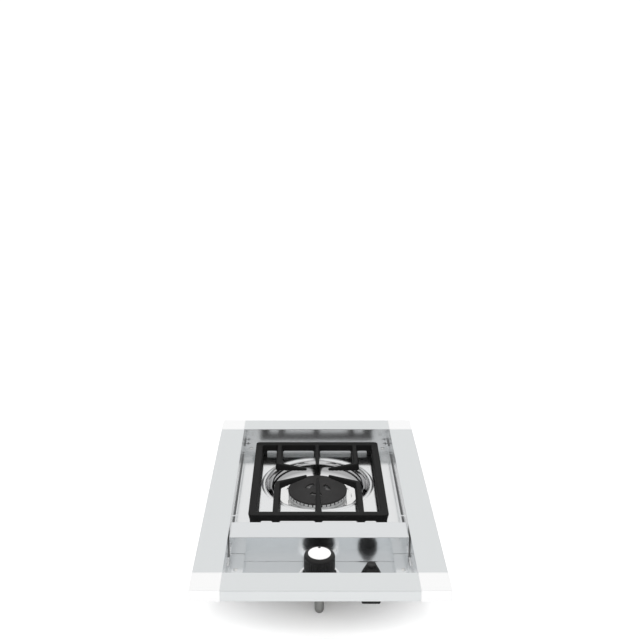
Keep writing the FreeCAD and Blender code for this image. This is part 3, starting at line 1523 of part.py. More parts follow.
def gas_pipe():
    """The supply pipe: down out of the valve, round a bend and back under the box."""
    start = FreeCAD.Vector(0, size["control_y"].number, (top - size["valve_bottom_drop"]).number)
    corner = FreeCAD.Vector(0, start.y, pipe_z.number)
    end = FreeCAD.Vector(0, size["pipe_end"].number, pipe_z.number)
    path = path_of([point - start for point in (start, corner, end)], [size["pipe_bend"].number])
    radius = size["pipe_radius"].number
    outer = tube_along(path, radius)
    bore = tube_along(path, radius - size["pipe_wall"].number)
    feature = doc.addObject("Part::Feature", "pipe_bent")
    feature.Shape = outer.cut(bore)
    place(feature, start.x, start.y, start.z)
    print("gas pipe: volume %.4f of its section times its length"
          % (outer.Volume / (math.pi * radius * radius * path.Length)))
    keep(feature, "gas_pipe")


def inlet_fitting():
    """The threaded end where the gas hose is screwed on."""
    front = size["pipe_end"]
    shoulder = front + size["fitting_hex_length"]
    end = shoulder + size["fitting_length"]
    hexagon = hexagon_back("fitting_hex", size["fitting_hex"], 0, pipe_z, front, shoulder)
    thread = rod_back("fitting_thread", size["fitting_radius"], 0, pipe_z, shoulder, end)
    bore = rod_back("fitting_bore", size["fitting_bore"], 0, pipe_z, front - overshoot, end + overshoot)
    keep(less("fitting_cut", joined("fitting_solid", [hexagon, thread]), bore), "gas_inlet_fitting")


def pipe_clip():
    """The saddle that hangs the pipe from the underside of the box."""
    half = size["clip_width"] / 2
    y = size["pipe_end"] - size["clip_width"] / 2
    inner = size["pipe_radius"]
    wall = size["support_sheet"]
    ring = rod_back("saddle_ring", inner + wall, 0, pipe_z, y - half, y + half)
    leg = block("saddle_leg", (-inner, inner), (y - half, y + half), (pipe_z, box_bottom))
    bore = rod_back("saddle_bore", inner, 0, pipe_z, y - half * 2, y + half * 2)
    keep(less("saddle_cut", joined("saddle_solid", [ring, leg]), bore), "gas_pipe_clip")


# Knob

def knob_body():
    high = top - size["knob_drop"]
    low = top - size["knob_bottom_drop"]
    radius = size["knob_radius"]
    skirt = size["knob_skirt"]
    waist = top - size["knob_waist_drop"]
    barrel_low = top - size["knob_barrel_drop"]
    shoulder = size["knob_shoulder"]
    inner = radius - size["knob_wall"]
    roof = high - size["knob_roof"]
    hub_under = top - size["knob_hub_drop"]
    recess = size["disc_radius"] + size["disc_clearance"]
    sunk = high - size["disc_thickness"]
    body = turned("knob_shell", [
        (0, hub_under), (size["knob_hub"], hub_under), (size["knob_hub"], roof), (inner, roof), (inner, low),
        (skirt, low), (skirt, low + size["knob_rim"]), (size["knob_waist"], waist), (radius, barrel_low),
        (radius, high - shoulder, shoulder), (radius - shoulder, high), (recess, high), (recess, sunk),
        (0, sunk),
    ], 0, size["control_y"])
    doc.recompute()
    before = body.Shape.Volume
    groove = new_sketch(body, "knob_flute_outline", "XY_Plane", high - shoulder)
    half = size["flute_width"] / 2
    outside = radius + overshoot
    valley = radius - size["flute_depth"]
    draw_outline(groove, [(valley, 0), (radius, -half), (outside, -half), (outside, half), (radius, half)])
    flute = body.newObject("PartDesign::Pocket", "knob_flute")
    flute.Profile = groove
    bind(flute, "Length", high - shoulder - barrel_low)
    body.Tip = flute
    doc.recompute()
    repeated(body, "knob_flutes", flute, size["flute_count"])
    doc.recompute()
    print("knob flutes cut away %.0f mm3" % (before - body.Shape.Volume))
    flat = size["stem_flat"] + size["stem_clearance"]
    bore = flatted("knob_bore", stem_bore, flat, hub_under - overshoot, top - size["stem_top_drop"])
    keep(less("knob_cut", body, bore), "knob_body")


def knob_disc():
    """The bright disc let into the knob, with a notch that points at the setting."""
    y = size["control_y"]
    high = top - size["knob_drop"]
    radius = size["disc_radius"]
    disc = rod("disc_plate", radius, 0, y, high - size["disc_thickness"], high)
    half = size["pointer_width"] / 2
    notch = block("disc_notch", (-half, half), (y + radius - size["pointer_length"], y + radius + overshoot),
                  (high - size["disc_thickness"] * 2, high + overshoot))
    keep(less("disc_cut", disc, notch), "knob_disc")


def knob_bezel():
    inner = size["bezel_bore"]
    outer = size["bezel_radius"]
    high = trough_top + size["bezel_height"]
    edge = size["bezel_edge"]
    profile = [(inner, trough_top), (outer, trough_top), (outer, high - edge, edge), (outer - edge, high),
               (inner, high)]
    keep(turned("knob_bezel", profile, 0, size["control_y"]), "knob_bezel")


def build_side_burner():
    trim_rails()
    trim_corners()
    trim_nuts()
    burner_box()
    brackets()
    deck_panel()
    cross_shelf()
    control_panel()
    head = size["screw_head_radius"]
    screws("deck_screws", deck_screw_places(), deck_top, head)
    screws("panel_screws", panel_screw_places(), ledge_top, head)
    screws("shelf_screws", shelf_screw_places(), deck_under, head, True)
    screws("valve_screws", valve_screw_places(), trough_top, head)
    grate()
    drip_bowl()
    burner_base()
    burner_crown()
    burner_cap()
    screws("burner_screws", burner_screw_places(), bowl_floor, size["burner_screw_head"])
    mixing_tube()
    air_shutter()
    burner_support()
    insulator()
    ignition_lead()
    lead_clips()
    igniter_housing()
    igniter_collar()
    igniter_button()
    valve_body()
    valve_bonnet()
    valve_plug()
    valve_stem()
    injector()
    gas_pipe()
    inlet_fitting()
    pipe_clip()
    knob_body()
    knob_disc()
    knob_bezel()


def check_and_export():
    doc.recompute()
    for item in doc.Objects:
        if "Invalid" in item.State or "Error" in item.State:
            raise RuntimeError("%s failed: %s" % (item.Name, item.State))
    for node in nodes:
        if node.Shape.isNull() or not node.Shape.isValid():
            raise RuntimeError("%s has no valid shape" % node.Label)
    os.makedirs("parts", exist_ok=True)
    for node in nodes:
        node.Shape.exportStep("parts/%s.step" % node.Label)
    print("wrote %d sub-parts" % len(nodes))


build_side_burner()
check_and_export()
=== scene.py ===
import json
import math

import bmesh
import bpy
from mathutils import Matrix, Vector

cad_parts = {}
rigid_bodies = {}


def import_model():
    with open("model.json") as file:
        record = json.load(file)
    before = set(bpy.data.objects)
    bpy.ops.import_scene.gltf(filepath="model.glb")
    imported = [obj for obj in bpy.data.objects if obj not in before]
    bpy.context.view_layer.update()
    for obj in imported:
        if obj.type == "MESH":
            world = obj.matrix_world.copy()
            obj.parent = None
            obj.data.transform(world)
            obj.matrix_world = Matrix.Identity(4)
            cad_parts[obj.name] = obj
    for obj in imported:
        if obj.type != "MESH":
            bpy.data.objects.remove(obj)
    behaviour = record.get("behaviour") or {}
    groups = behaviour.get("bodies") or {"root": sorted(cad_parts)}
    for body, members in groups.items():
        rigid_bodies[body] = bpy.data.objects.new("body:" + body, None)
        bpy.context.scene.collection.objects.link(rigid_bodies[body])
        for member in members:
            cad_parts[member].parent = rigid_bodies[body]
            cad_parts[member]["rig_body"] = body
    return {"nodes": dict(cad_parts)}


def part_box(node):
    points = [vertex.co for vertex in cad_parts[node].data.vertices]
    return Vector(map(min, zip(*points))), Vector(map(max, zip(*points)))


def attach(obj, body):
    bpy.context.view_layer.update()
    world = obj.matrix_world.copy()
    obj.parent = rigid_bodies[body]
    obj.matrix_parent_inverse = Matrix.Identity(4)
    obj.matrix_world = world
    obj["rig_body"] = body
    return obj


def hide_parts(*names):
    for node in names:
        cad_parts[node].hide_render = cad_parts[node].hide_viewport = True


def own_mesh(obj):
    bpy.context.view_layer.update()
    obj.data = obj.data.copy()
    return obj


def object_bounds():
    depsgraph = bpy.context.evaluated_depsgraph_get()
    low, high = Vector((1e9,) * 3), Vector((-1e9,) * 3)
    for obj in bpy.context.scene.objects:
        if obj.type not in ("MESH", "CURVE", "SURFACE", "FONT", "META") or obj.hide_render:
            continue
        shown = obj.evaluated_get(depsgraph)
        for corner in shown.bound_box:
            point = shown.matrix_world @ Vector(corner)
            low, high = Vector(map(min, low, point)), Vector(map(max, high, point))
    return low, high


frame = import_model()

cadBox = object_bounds()
scene = bpy.context.scene
scene.view_settings.view_transform = "Standard"   # whites stay white, as on a studio product picture
scene.view_settings.look = "None"


def middleOf(nodeName):
    low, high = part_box(nodeName)
    return (low + high) / 2


# Places that several pieces share, read from the frame
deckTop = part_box("deck_panel")[1].z
knobCentre = middleOf("knob_disc")
burnerCentre = middleOf("burner_cap")
buttonCentre = middleOf("igniter_button")

# Camera
cameraView = {
    "height": 0.74794,          # above the counter's top
    "distance": 1.32849,        # in front of the middle of the trim
    "side": -0.01745,
    "tiltDegrees": 18.2686,     # below level
    "lens": 51.545,
    "shiftX": 0.0195,
    "farthest": 100,
}


def addCamera():
    data = bpy.data.cameras.new("camera")
    data.lens = cameraView["lens"]
    data.shift_x = cameraView["shiftX"]
    data.clip_end = cameraView["farthest"]
    camera = bpy.data.objects.new("camera", data)
    camera.location = (cameraView["side"], -cameraView["distance"], cameraView["height"])
    camera.rotation_euler = (math.radians(90 - cameraView["tiltDegrees"]), 0, 0)
    scene.collection.objects.link(camera)
    scene.camera = camera


# Studio: a white sky that is darker low down behind the camera, two soft lamps and a pale floor with painted
# light on it and a painted shadow under the burner
studio = {
    "backdrop": 1.1,            # the sky as the camera sees it
    "sky": 0.83,                # the sky as the metal and the floor see it
    "darkSide": 0.64,           # the same low down behind the camera, as in a studio's dark room
    "darkSpan": (-0.95, -0.5),  # where that is darkest and where it ends: -1 is level, behind the camera
    "lamps": [((0, 0.2, 2.4), 1.6, 12.0), ((0, -1.75, 1.45), 1.0, 34.0)],   # place, size and watts
    "floorDrop": 0.0004,        # how far the floor lies under the lowest piece
    "floorSize": 60.0,
    "floorColor": 0.80,
    "floorBounce": 0.59,        # the floor's colour as the metal sees it
    "floorRoughness": 0.9,
    "floorSheen": 0.1,
    "glow": (0.40, 0.10),       # painted light on the floor, seen by the camera alone: out in the open, and lower under the burner as a painted shadow
    "paintedShadowReach": (0.19, 0.29),  # half the width and depth of the painted shadow's patch
    "paintedShadowCore": 0.65,           # how far in towards its middle the painted shadow gets darker, as a share
}


# A node that turns one span of numbers into another
def mapRange(tree, source, fromSpan, toSpan):
    node = tree.nodes.new("ShaderNodeMapRange")
    for socket, value in zip(("From Min", "From Max", "To Min", "To Max"), (*fromSpan, *toSpan)):
        node.inputs[socket].default_value = value
    tree.links.new(source, node.inputs["Value"])
    return node


# A number that is one value for the camera and another for every other ray
def cameraOnly(tree, seen, other):
    rays = tree.nodes.new("ShaderNodeLightPath")
    return mapRange(tree, rays.outputs["Is Camera Ray"], (0, 1), (other, seen))


def addSky():
    world = bpy.data.worlds.new("studio")
    world.use_nodes = True
    tree = world.node_tree
    sky = tree.nodes["Background"]
    sky.inputs["Color"].default_value = (1, 1, 1, 1)
    place = tree.nodes.new("ShaderNodeTexCoord")
    parts = tree.nodes.new("ShaderNodeSeparateXYZ")
    tree.links.new(place.outputs["Generated"], parts.inputs["Vector"])
    fall = mapRange(tree, parts.outputs["Y"], studio["darkSpan"], (studio["darkSide"], studio["sky"]))
    fall.interpolation_type = "SMOOTHSTEP"
    strength = cameraOnly(tree, studio["backdrop"], studio["sky"])
    tree.links.new(fall.outputs["Result"], strength.inputs["To Min"])
    tree.links.new(strength.outputs["Result"], sky.inputs["Strength"])
    scene.world = world


def addLamps():
    for number, (place, size, watts) in enumerate(studio["lamps"]):
        lamp = bpy.data.lights.new("softbox%d" % number, "AREA")
        lamp.shape = "SQUARE"
        lamp.size = size
        lamp.energy = watts
        lampObject = bpy.data.objects.new("softbox%d" % number, lamp)
        lampObject.location = place
        lampObject.rotation_euler = Vector(place).to_track_quat("Z", "Y").to_euler()
        lampObject.visible_glossy = False   # no bright square in the steel
        scene.collection.objects.link(lampObject)


def addFloor():
    bm = bmesh.new()
    bmesh.ops.create_grid(bm, x_segments=1, y_segments=1, size=studio["floorSize"] / 2)
    bmesh.ops.translate(bm, vec=(0, 0, cadBox[0][2] - studio["floorDrop"]), verts=bm.verts)
    mesh = bpy.data.meshes.new("floor")
    bm.to_mesh(mesh)
    bm.free()
    floor = bpy.data.objects.new("floor", mesh)
    scene.collection.objects.link(floor)
    paper = bpy.data.materials.new("floorPaper")
    paper.use_nodes = True
    tree = paper.node_tree
    shader = tree.nodes["Principled BSDF"]
    shader.inputs["Roughness"].default_value = studio["floorRoughness"]
    shader.inputs["Specular IOR Level"].default_value = studio["floorSheen"]
    shader.inputs["Emission Color"].default_value = (1, 1, 1, 1)
    color = cameraOnly(tree, studio["floorColor"], studio["floorBounce"])
    tree.links.new(color.outputs["Result"], shader.inputs["Base Color"])
    # Painted shadow: the floor's painted light, which only the camera sees, falls off in a patch round the
    # middle, under the burner
    place = tree.nodes.new("ShaderNodeTexCoord")
    mapping = tree.nodes.new("ShaderNodeMapping")
    mapping.inputs["Scale"].default_value = [1 / reach for reach in studio["paintedShadowReach"]] + [0]
    paintedShadowPatch = tree.nodes.new("ShaderNodeTexGradient")
    paintedShadowPatch.gradient_type = "SPHERICAL"
    tree.links.new(place.outputs["Object"], mapping.inputs["Vector"])
    tree.links.new(mapping.outputs["Vector"], paintedShadowPatch.inputs["Vector"])
    level = mapRange(tree, paintedShadowPatch.outputs["Fac"], (0, studio["paintedShadowCore"]), studio["glow"])
    glow = cameraOnly(tree, 1, 0)
    tree.links.new(level.outputs["Result"], glow.inputs["To Max"])
    tree.links.new(glow.outputs["Result"], shader.inputs["Emission Strength"])
    mesh.materials.append(paper)


addCamera()
addSky()
addLamps()
addFloor()
print("camera and studio ready")

# Materials: each kind of surface has its own noise, which varies its gloss, tint and relief
noiseSpan = (0.3, 0.7)          # most of a noise's values lie between these
brushed = {"scale": 2600.0, "detail": 2.0, "bump": 0.5, "glossSpread": 8}
polished = {"scale": 60.0, "detail": 4.0, "gloss": (0.7, 1.4)}
cast = {"scale": 900.0, "detail": 5.0, "bump": 0.6, "gloss": (0.85, 1.15)}
moulded = {"scale": 1500.0, "detail": 3.0, "bump": 0.5, "gloss": (0.9, 1.1), "tint": (0.85, 1.15),
           "depth": 0.00003}


# glow is emission that makes a surface brighter than the lamps light it: painted light, no lamp
def newMaterial(name, color, metallic, roughness, sheen=0.5, glow=0.0):
    material = bpy.data.materials.new(name)
    material.use_nodes = True
    shader = material.node_tree.nodes["Principled BSDF"]
    values = {"Base Color": (*color, 1), "Metallic": metallic, "Roughness": roughness,
              "Specular IOR Level": sheen, "Emission Color": (1, 1, 1, 1), "Emission Strength": glow}
    for socket, value in values.items():
        shader.inputs[socket].default_value = value
    return material, shader


def addNoise(material, scale, detail, stretch=(1, 1, 1)):
    tree = material.node_tree
    place = tree.nodes.new("ShaderNodeTexCoord")
    mapping = tree.nodes.new("ShaderNodeMapping")
    mapping.inputs["Scale"].default_value = stretch
    noise = tree.nodes.new("ShaderNodeTexNoise")
    noise.inputs["Scale"].default_value = scale
    noise.inputs["Detail"].default_value = detail
    tree.links.new(place.outputs["Object"], mapping.inputs["Vector"])
    tree.links.new(mapping.outputs["Vector"], noise.inputs["Vector"])
    return noise.outputs["Fac"]


def varyRoughness(material, shader, noise, roughness, low, high):
    spread = mapRange(material.node_tree, noise, noiseSpan, (roughness * low, roughness * high))
    material.node_tree.links.new(spread.outputs["Result"], shader.inputs["Roughness"])


def varyColor(material, shader, noise, dark, light):
    ramp = material.node_tree.nodes.new("ShaderNodeValToRGB")
    for index, color in enumerate((dark, light)):
        ramp.color_ramp.elements[index].position = noiseSpan[index]
        ramp.color_ramp.elements[index].color = (*color, 1)
    material.node_tree.links.new(noise, ramp.inputs["Fac"])
    material.node_tree.links.new(ramp.outputs["Color"], shader.inputs["Base Color"])


def addBump(material, shader, noise, distance, strength):
    bump = material.node_tree.nodes.new("ShaderNodeBump")
    bump.inputs["Distance"].default_value = distance
    bump.inputs["Strength"].default_value = strength
    material.node_tree.links.new(noise, bump.inputs["Height"])
    material.node_tree.links.new(bump.outputs["Normal"], shader.inputs["Normal"])


def scaled(color, factor):
    return tuple(min(channel * factor, 1.0) for channel in color)


# Sheet steel with a brushed grain: grain is the share of the noise's scale kept along each axis
def brushedSteel(name, color, grain, roughness, depth, spread, glow=0.0):
    material, shader = newMaterial(name, color, 1.0, roughness, glow=glow)
    noise = addNoise(material, brushed["scale"], brushed["detail"], grain)
    gloss = spread * brushed["glossSpread"]
    varyRoughness(material, shader, noise, roughness, 1 - gloss, 1 + gloss)
    varyColor(material, shader, noise, scaled(color, 1 - spread), scaled(color, 1 + spread))
    addBump(material, shader, noise, depth, brushed["bump"])
    return material


def polishedMetal(name, color, roughness, glow=0.0):
    material, shader = newMaterial(name, color, 1.0, roughness, glow=glow)
    noise = addNoise(material, polished["scale"], polished["detail"])
    varyRoughness(material, shader, noise, roughness, *polished["gloss"])
    return material


bowlPaintedReflection = {
    "depth": 0.025,             # of the bowl, from the deck down
    "foot": (0.97, 0.97, 0.965),
    "reflectionBand": ((0.10, 0.9), (0.30, 0.46), (0.62, 0.50), (0.74, 0.85)),   # share of the height, and grey: a band of painted reflection
    "bluish": 1.01,
    "topShare": 0.95,           # bright steel from here up
}


# Polished steel with a painted reflection: a darker grey band halfway down the bowl, standing in for what the
# wall reflects; the grey follows the height
def bowlMetal(name, roughness):
    material = polishedMetal(name, (0.9, 0.9, 0.9), roughness)
    tree = material.node_tree
    place = tree.nodes.new("ShaderNodeTexCoord")
    parts = tree.nodes.new("ShaderNodeSeparateXYZ")
    tree.links.new(place.outputs["Object"], parts.inputs["Vector"])
    level = mapRange(tree, parts.outputs["Z"], (deckTop - bowlPaintedReflection["depth"], deckTop), (0, 1))
    ramp = tree.nodes.new("ShaderNodeValToRGB")
    stops = ramp.color_ramp.elements
    stops[0].position = 0.0
    stops[0].color = (*bowlPaintedReflection["foot"], 1)
    stops[1].position = bowlPaintedReflection["topShare"]
    stops[1].color = (1, 1, 1, 1)
    for share, grey in bowlPaintedReflection["reflectionBand"]:
        stops.new(share).color = (grey, grey, grey * bowlPaintedReflection["bluish"], 1)
    tree.links.new(level.outputs["Result"], ramp.inputs["Fac"])
    tree.links.new(ramp.outputs["Color"], tree.nodes["Principled BSDF"].inputs["Base Color"])
    return material


def castMetal(name, dark, light, roughness, metallic, scale=cast["scale"], depth=0.00012, sheen=0.5, glow=0.0):
    material, shader = newMaterial(name, light, metallic, roughness, sheen, glow)
    noise = addNoise(material, scale, cast["detail"])
    varyColor(material, shader, noise, dark, light)
    varyRoughness(material, shader, noise, roughness, *cast["gloss"])
    addBump(material, shader, noise, depth, cast["bump"])
    return material


def mouldedPlastic(name, color, roughness, scale=moulded["scale"], sheen=0.5):
    material, shader = newMaterial(name, color, 0.0, roughness, sheen)
    noise = addNoise(material, scale, moulded["detail"])
    dark, light = moulded["tint"]
    varyRoughness(material, shader, noise, roughness, *moulded["gloss"])
    varyColor(material, shader, noise, scaled(color, dark), scaled(color, light))
    addBump(material, shader, noise, moulded["depth"], moulded["bump"])
    return material


alongX = (0.01, 1, 1)
alongY = (1, 0.01, 1)
finishes = {
    "railSideways": brushedSteel("railSideways", (0.865, 0.887, 0.892), alongX, 0.3, 0.0000012, 0.004),
    "railLengthways": brushedSteel("railLengthways", (0.855, 0.878, 0.884), alongY, 0.3, 0.0000012, 0.004),
    # The corner caps' last number is painted light: they glow a little to look whiter than steel can
    "cornerCap": brushedSteel("cornerCap", (0.94, 0.94, 0.94), alongX, 0.28, 0.0000005, 0.001, 0.17),
    # The box's sheet glows a little: painted light that lightens its walls in the shade under the rails
    "boxSheet": brushedSteel("boxSheet", (0.74, 0.755, 0.765), alongX, 0.2, 0.000003, 0.008, 0.04),
    "deckSheet": brushedSteel("deckSheet", (0.91, 0.92, 0.925), alongX, 0.14, 0.0000015, 0.004),
    "lipSteel": brushedSteel("lipSteel", (0.91, 0.92, 0.925), alongX, 0.34, 0.000001, 0.004),
    "shelfSheet": brushedSteel("shelfSheet", (0.865, 0.883, 0.895), alongX, 0.16, 0.000003, 0.008),
    "fastener": polishedMetal("fastener", (0.86, 0.86, 0.85), 0.15),
    "bowlChrome": bowlMetal("bowlChrome", 0.08),
    # The bezel and the knob's disc glow a little: painted light that makes them whiter
    "bezelChrome": polishedMetal("bezelChrome", (0.93, 0.93, 0.93), 0.08, 0.16),
    "knobDisc": polishedMetal("knobDisc", (0.97, 0.97, 0.97), 0.22, 0.2),
    "springSteel": polishedMetal("springSteel", (0.52, 0.52, 0.52), 0.25),
    "grateIron": castMetal("grateIron", (0.003, 0.003, 0.003), (0.0052, 0.0052, 0.0052), 0.6, 0.0,
                           depth=0.0001, sheen=0.2),
    "crownCast": castMetal("crownCast", (0.81, 0.82, 0.82), (0.86, 0.87, 0.87), 0.58, 0.85, depth=0.00001),
    # The hub glows a little: painted light where the cap shades it
    "hubCast": castMetal("hubCast", (0.60, 0.60, 0.59), (0.72, 0.72, 0.71), 0.3, 1.0, glow=0.1),
    # Painted shade: near-black for the inside of the burner's ports, where shade falls
    "portPaintedShade": castMetal("portPaintedShade", (0.010, 0.010, 0.010), (0.016, 0.016, 0.016), 0.7, 0.0, sheen=0.2),
    "capEnamel": castMetal("capEnamel", (0.020, 0.0195, 0.0195), (0.028, 0.027, 0.027), 0.6, 0.0, 1400.0,
                           depth=0.00006, sheen=0.25),
    "tubeSteel": castMetal("tubeSteel", (0.42, 0.42, 0.41), (0.50, 0.50, 0.49), 0.38, 1.0),
    "brass": castMetal("brass", (0.60, 0.44, 0.19), (0.72, 0.55, 0.26), 0.28, 1.0),
    "knobPlastic": mouldedPlastic("knobPlastic", (0.006, 0.0057, 0.0057), 0.4, sheen=0.35),
    "igniterPlastic": mouldedPlastic("igniterPlastic", (0.008, 0.008, 0.008), 0.42, sheen=0.4),
    "ceramic": mouldedPlastic("ceramic", (0.82, 0.81, 0.76), 0.2, 800.0),
    "leadSleeve": mouldedPlastic("leadSleeve", (0.30, 0.30, 0.29), 0.55),
}

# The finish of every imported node
nodeFinishes = {
    "railLengthways": "trim_rail_left trim_rail_right",
    "railSideways": "trim_rail_front trim_rail_back",
    "cornerCap": "trim_corner_back_left trim_corner_back_right"
                 " trim_corner_front_left trim_corner_front_right",
    "boxSheet": "burner_box deck_brackets burner_support gas_pipe_clip lead_clips",
    "deckSheet": "deck_panel",
    "shelfSheet": "cross_shelf control_panel",
    "fastener": "trim_nuts deck_screws panel_screws shelf_screws valve_screws burner_screws electrode_clip",
    "bowlChrome": "drip_bowl",
    "bezelChrome": "knob_bezel",
    "knobDisc": "knob_disc",
    "springSteel": "valve_stem electrode_pin valve_spring button_spring",
    "grateIron": "grate",
    "crownCast": "burner_base burner_crown",
    "capEnamel": "burner_cap",
    "tubeSteel": "mixing_tube air_shutter gas_pipe",
    "brass": "valve_body valve_bonnet valve_plug gas_injector gas_inlet_fitting",
    "knobPlastic": "knob_body",
    "igniterPlastic": "igniter_button igniter_collar igniter_housing",
    "ceramic": "piezo_element electrode_insulator",
    "leadSleeve": "electrode_boot ignition_lead",
}
finishOf = {node: finish for finish, names in nodeFinishes.items() for node in names.split()}
for nodeName, finish in finishOf.items():
    mesh = frame["nodes"][nodeName].data
    mesh.materials.clear()
    mesh.materials.append(finishes[finish])
print("materials on", len(finishOf), "packed nodes")

# Finishing a piece
mergeReach = 0.00001            # points nearer than this become one
sharpAngle = 35.0               # degrees from which an edge stays a crease


def finishPiece(name, bm, body, finish, replaced=(), crease=sharpAngle):
    bmesh.ops.remove_doubles(bm, verts=bm.verts, dist=mergeReach)
    bmesh.ops.recalc_face_normals(bm, faces=bm.faces)
    mesh = bpy.data.meshes.new(name)
    bm.to_mesh(mesh)
    bm.free()
    mesh.shade_smooth()
    mesh.set_sharp_from_angle(angle=math.radians(crease))
    mesh.materials.append(finishes[finish])
    piece = bpy.data.objects.new(name, mesh)
    scene.collection.objects.link(piece)
    even = piece.modifiers.new("evenShading", "WEIGHTED_NORMAL")
    even.keep_sharp = True
    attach(piece, body)
    if replaced:
        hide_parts(*replaced)
    return piece


def pieceName(nodeName):
    first, *rest = nodeName.split("_")
    return first + "".join(word.capitalize() for word in rest)


# A piece that takes its name, body and finish from the imported node that it replaces
def finishCopy(nodeName, bm, crease=sharpAngle):
    body = frame["nodes"][nodeName]["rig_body"]
    return finishPiece(pieceName(nodeName), bm, body, finishOf[nodeName], [nodeName], crease)


# Puts a piece's modifiers into its mesh
def keepResult(piece):
    bpy.context.view_layer.update()
    whole = bpy.data.meshes.new_from_object(piece.evaluated_get(bpy.context.evaluated_depsgraph_get()))
    whole.name = piece.data.name
    piece.modifiers.clear()
    piece.data = whole
    return whole


# An outline in radius and height whose corners are rounded: each corner is (radius, height, rounding)
def roundedOutline(corners, steps):
    points = []
    for index, corner in enumerate(corners):
        here = Vector(corner[:2])
        rounding = corner[2] if len(corner) > 2 else 0
        if not rounding:
            points.append(here)
            continue
        toBefore = (Vector(corners[index - 1][:2]) - here).normalized()
        toAfter = (Vector(corners[(index + 1) % len(corners)][:2]) - here).normalized()
        half = toBefore.angle(toAfter) / 2
        reach = rounding / math.tan(half)
        centre = here + (toBefore + toAfter).normalized() * (rounding / math.sin(half))
        start = here + toBefore * reach - centre
        sweep = (math.pi - 2 * half) * (1 if start.cross(here - centre) > 0 else -1)
        for step in range(steps + 1):
            turn = Matrix.Rotation(sweep * step / steps, 2)
            points.append(centre + turn @ start)
    return points


# Turns an outline round an upright axis through a point
def spinOutline(bm, points, centre, steps, closed=True):
    verts = [bm.verts.new((centre.x + point[0], centre.y, point[1])) for point in points]
    ends = list(zip(verts, verts[1:] + verts[:1])) if closed else list(zip(verts, verts[1:]))
    edges = [bm.edges.new(pair) for pair in ends]
    bmesh.ops.spin(bm, geom=verts + edges, cent=(centre.x, centre.y, 0), axis=(0, 0, 1), dvec=(0, 0, 0),
                   angle=2 * math.pi, steps=steps, use_merge=True)


def turnedShape(corners, rounding, centre, steps):
    bm = bmesh.new()
    spinOutline(bm, roundedOutline(corners, rounding), centre, steps)
    return bm


# One of several equal places round the burner's axis
def aroundBurner(angle):
    return Matrix.Translation((burnerCentre.x, burnerCentre.y, 0)) @ Matrix.Rotation(angle, 4, "Z")


def addBlock(bm, low, high):
    low, high = Vector(low), Vector(high)
    size = high - low
    move = Matrix.Translation((low + high) / 2) @ Matrix.Diagonal((*size, 1))
    return bmesh.ops.create_cube(bm, size=1, matrix=move)["verts"]


# Adds one bmesh to another and lets it go, once for each placing
def addShape(bm, shape, placings=(None,)):
    mesh = bpy.data.meshes.new("shape")
    shape.to_mesh(mesh)
    shape.free()
    for placing in placings:
        count = len(bm.verts)
        bm.from_mesh(mesh)
        if placing:
            bm.verts.ensure_lookup_table()
            bmesh.ops.transform(bm, matrix=placing, verts=bm.verts[count:])
    bpy.data.meshes.remove(mesh)


def bevelEdges(bm, edges, offset, segments):
    bmesh.ops.bevel(bm, geom=edges, offset=offset, offset_type="OFFSET", segments=segments, profile=0.5,
                    affect="EDGES", clamp_overlap=True, material=-1)


def bevelSharp(bm, offset, segments, angle):
    limit = math.radians(angle)
    edges = [edge for edge in bm.edges if len(edge.link_faces) == 2 and edge.calc_face_angle(0) > limit]
    bevelEdges(bm, edges, offset, segments)


# Gives a second finish to the faces that a test on their radius round the burner and their height picks out
def paintFaces(piece, finish, picks):
    piece.data.materials.append(finishes[finish])
    for face in piece.data.polygons:
        if picks((face.center.xy - burnerCentre.xy).length, face.center.z):
            face.material_index = 1


# Sheet and turned pieces whose form the frame already has: merged, made of whole faces, their edges softened
softEdges = {
    "trim_rail_left": 0.0003, "trim_rail_right": 0.0003, "trim_rail_front": 0.0003,
    "trim_rail_back": 0.0003, "trim_corner_back_left": 0.0003, "trim_corner_back_right": 0.0003,
    "trim_corner_front_left": 0.0003, "trim_corner_front_right": 0.0003,
    "trim_nuts": 0.0002, "burner_box": 0.00025, "deck_panel": 0.00025, "deck_brackets": 0.0002,
    "cross_shelf": 0.00025, "control_panel": 0.00025, "burner_cap": 0.0003, "burner_base": 0.0004,
    "burner_support": 0.0003, "mixing_tube": 0.0002, "air_shutter": 0.0002, "igniter_housing": 0.0005,
    "valve_body": 0.0004, "valve_bonnet": 0.0003, "gas_injector": 0.0002, "gas_inlet_fitting": 0.0003,
    "gas_pipe_clip": 0.0002, "lead_clips": 0.0002, "electrode_insulator": 0.0002, "electrode_boot": 0.0004,
    "knob_disc": 0.0002,
}
flatAngle = 0.4                 # degrees under which two triangles are one flat face
fineSeams = {
    "cap": (0.0006, 0.0003),    # gaps beside the corner caps, across and along the trim
    "capReach": 0.0002,
    "shelfFoot": 0.0012,        # dark gap between the control panel and the shelf's foot
    "shelfReach": 0.0005,
    "notchHalf": 0.00115,       # the pointer's notch in the knob's disc lies within this
    "notchGrowth": 1.6,
}


def wholeFaces(nodeName):
    bm = bmesh.new()
    bm.from_mesh(frame["nodes"][nodeName].data)
    bmesh.ops.remove_doubles(bm, verts=bm.verts, dist=mergeReach)
    bmesh.ops.dissolve_limit(bm, angle_limit=math.radians(flatAngle), verts=bm.verts, edges=bm.edges)
    return bm


def openSeams(nodeName, bm):
    low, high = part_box(nodeName)
    for vert in bm.verts:
        if "corner" in nodeName:
            for axis in (0, 1):
                inner = low[axis] if low[axis] > 0 else high[axis]
                if abs(vert.co[axis] - inner) < fineSeams["capReach"]:
                    vert.co[axis] += math.copysign(fineSeams["cap"][axis], inner)
        if nodeName == "control_panel" and vert.co.y > high.y - fineSeams["shelfReach"]:
            vert.co.y -= fineSeams["shelfFoot"]
        if nodeName == "knob_disc" and abs(vert.co.x) < fineSeams["notchHalf"] and vert.co.y > knobCentre.y:
            vert.co.x *= fineSeams["notchGrowth"]


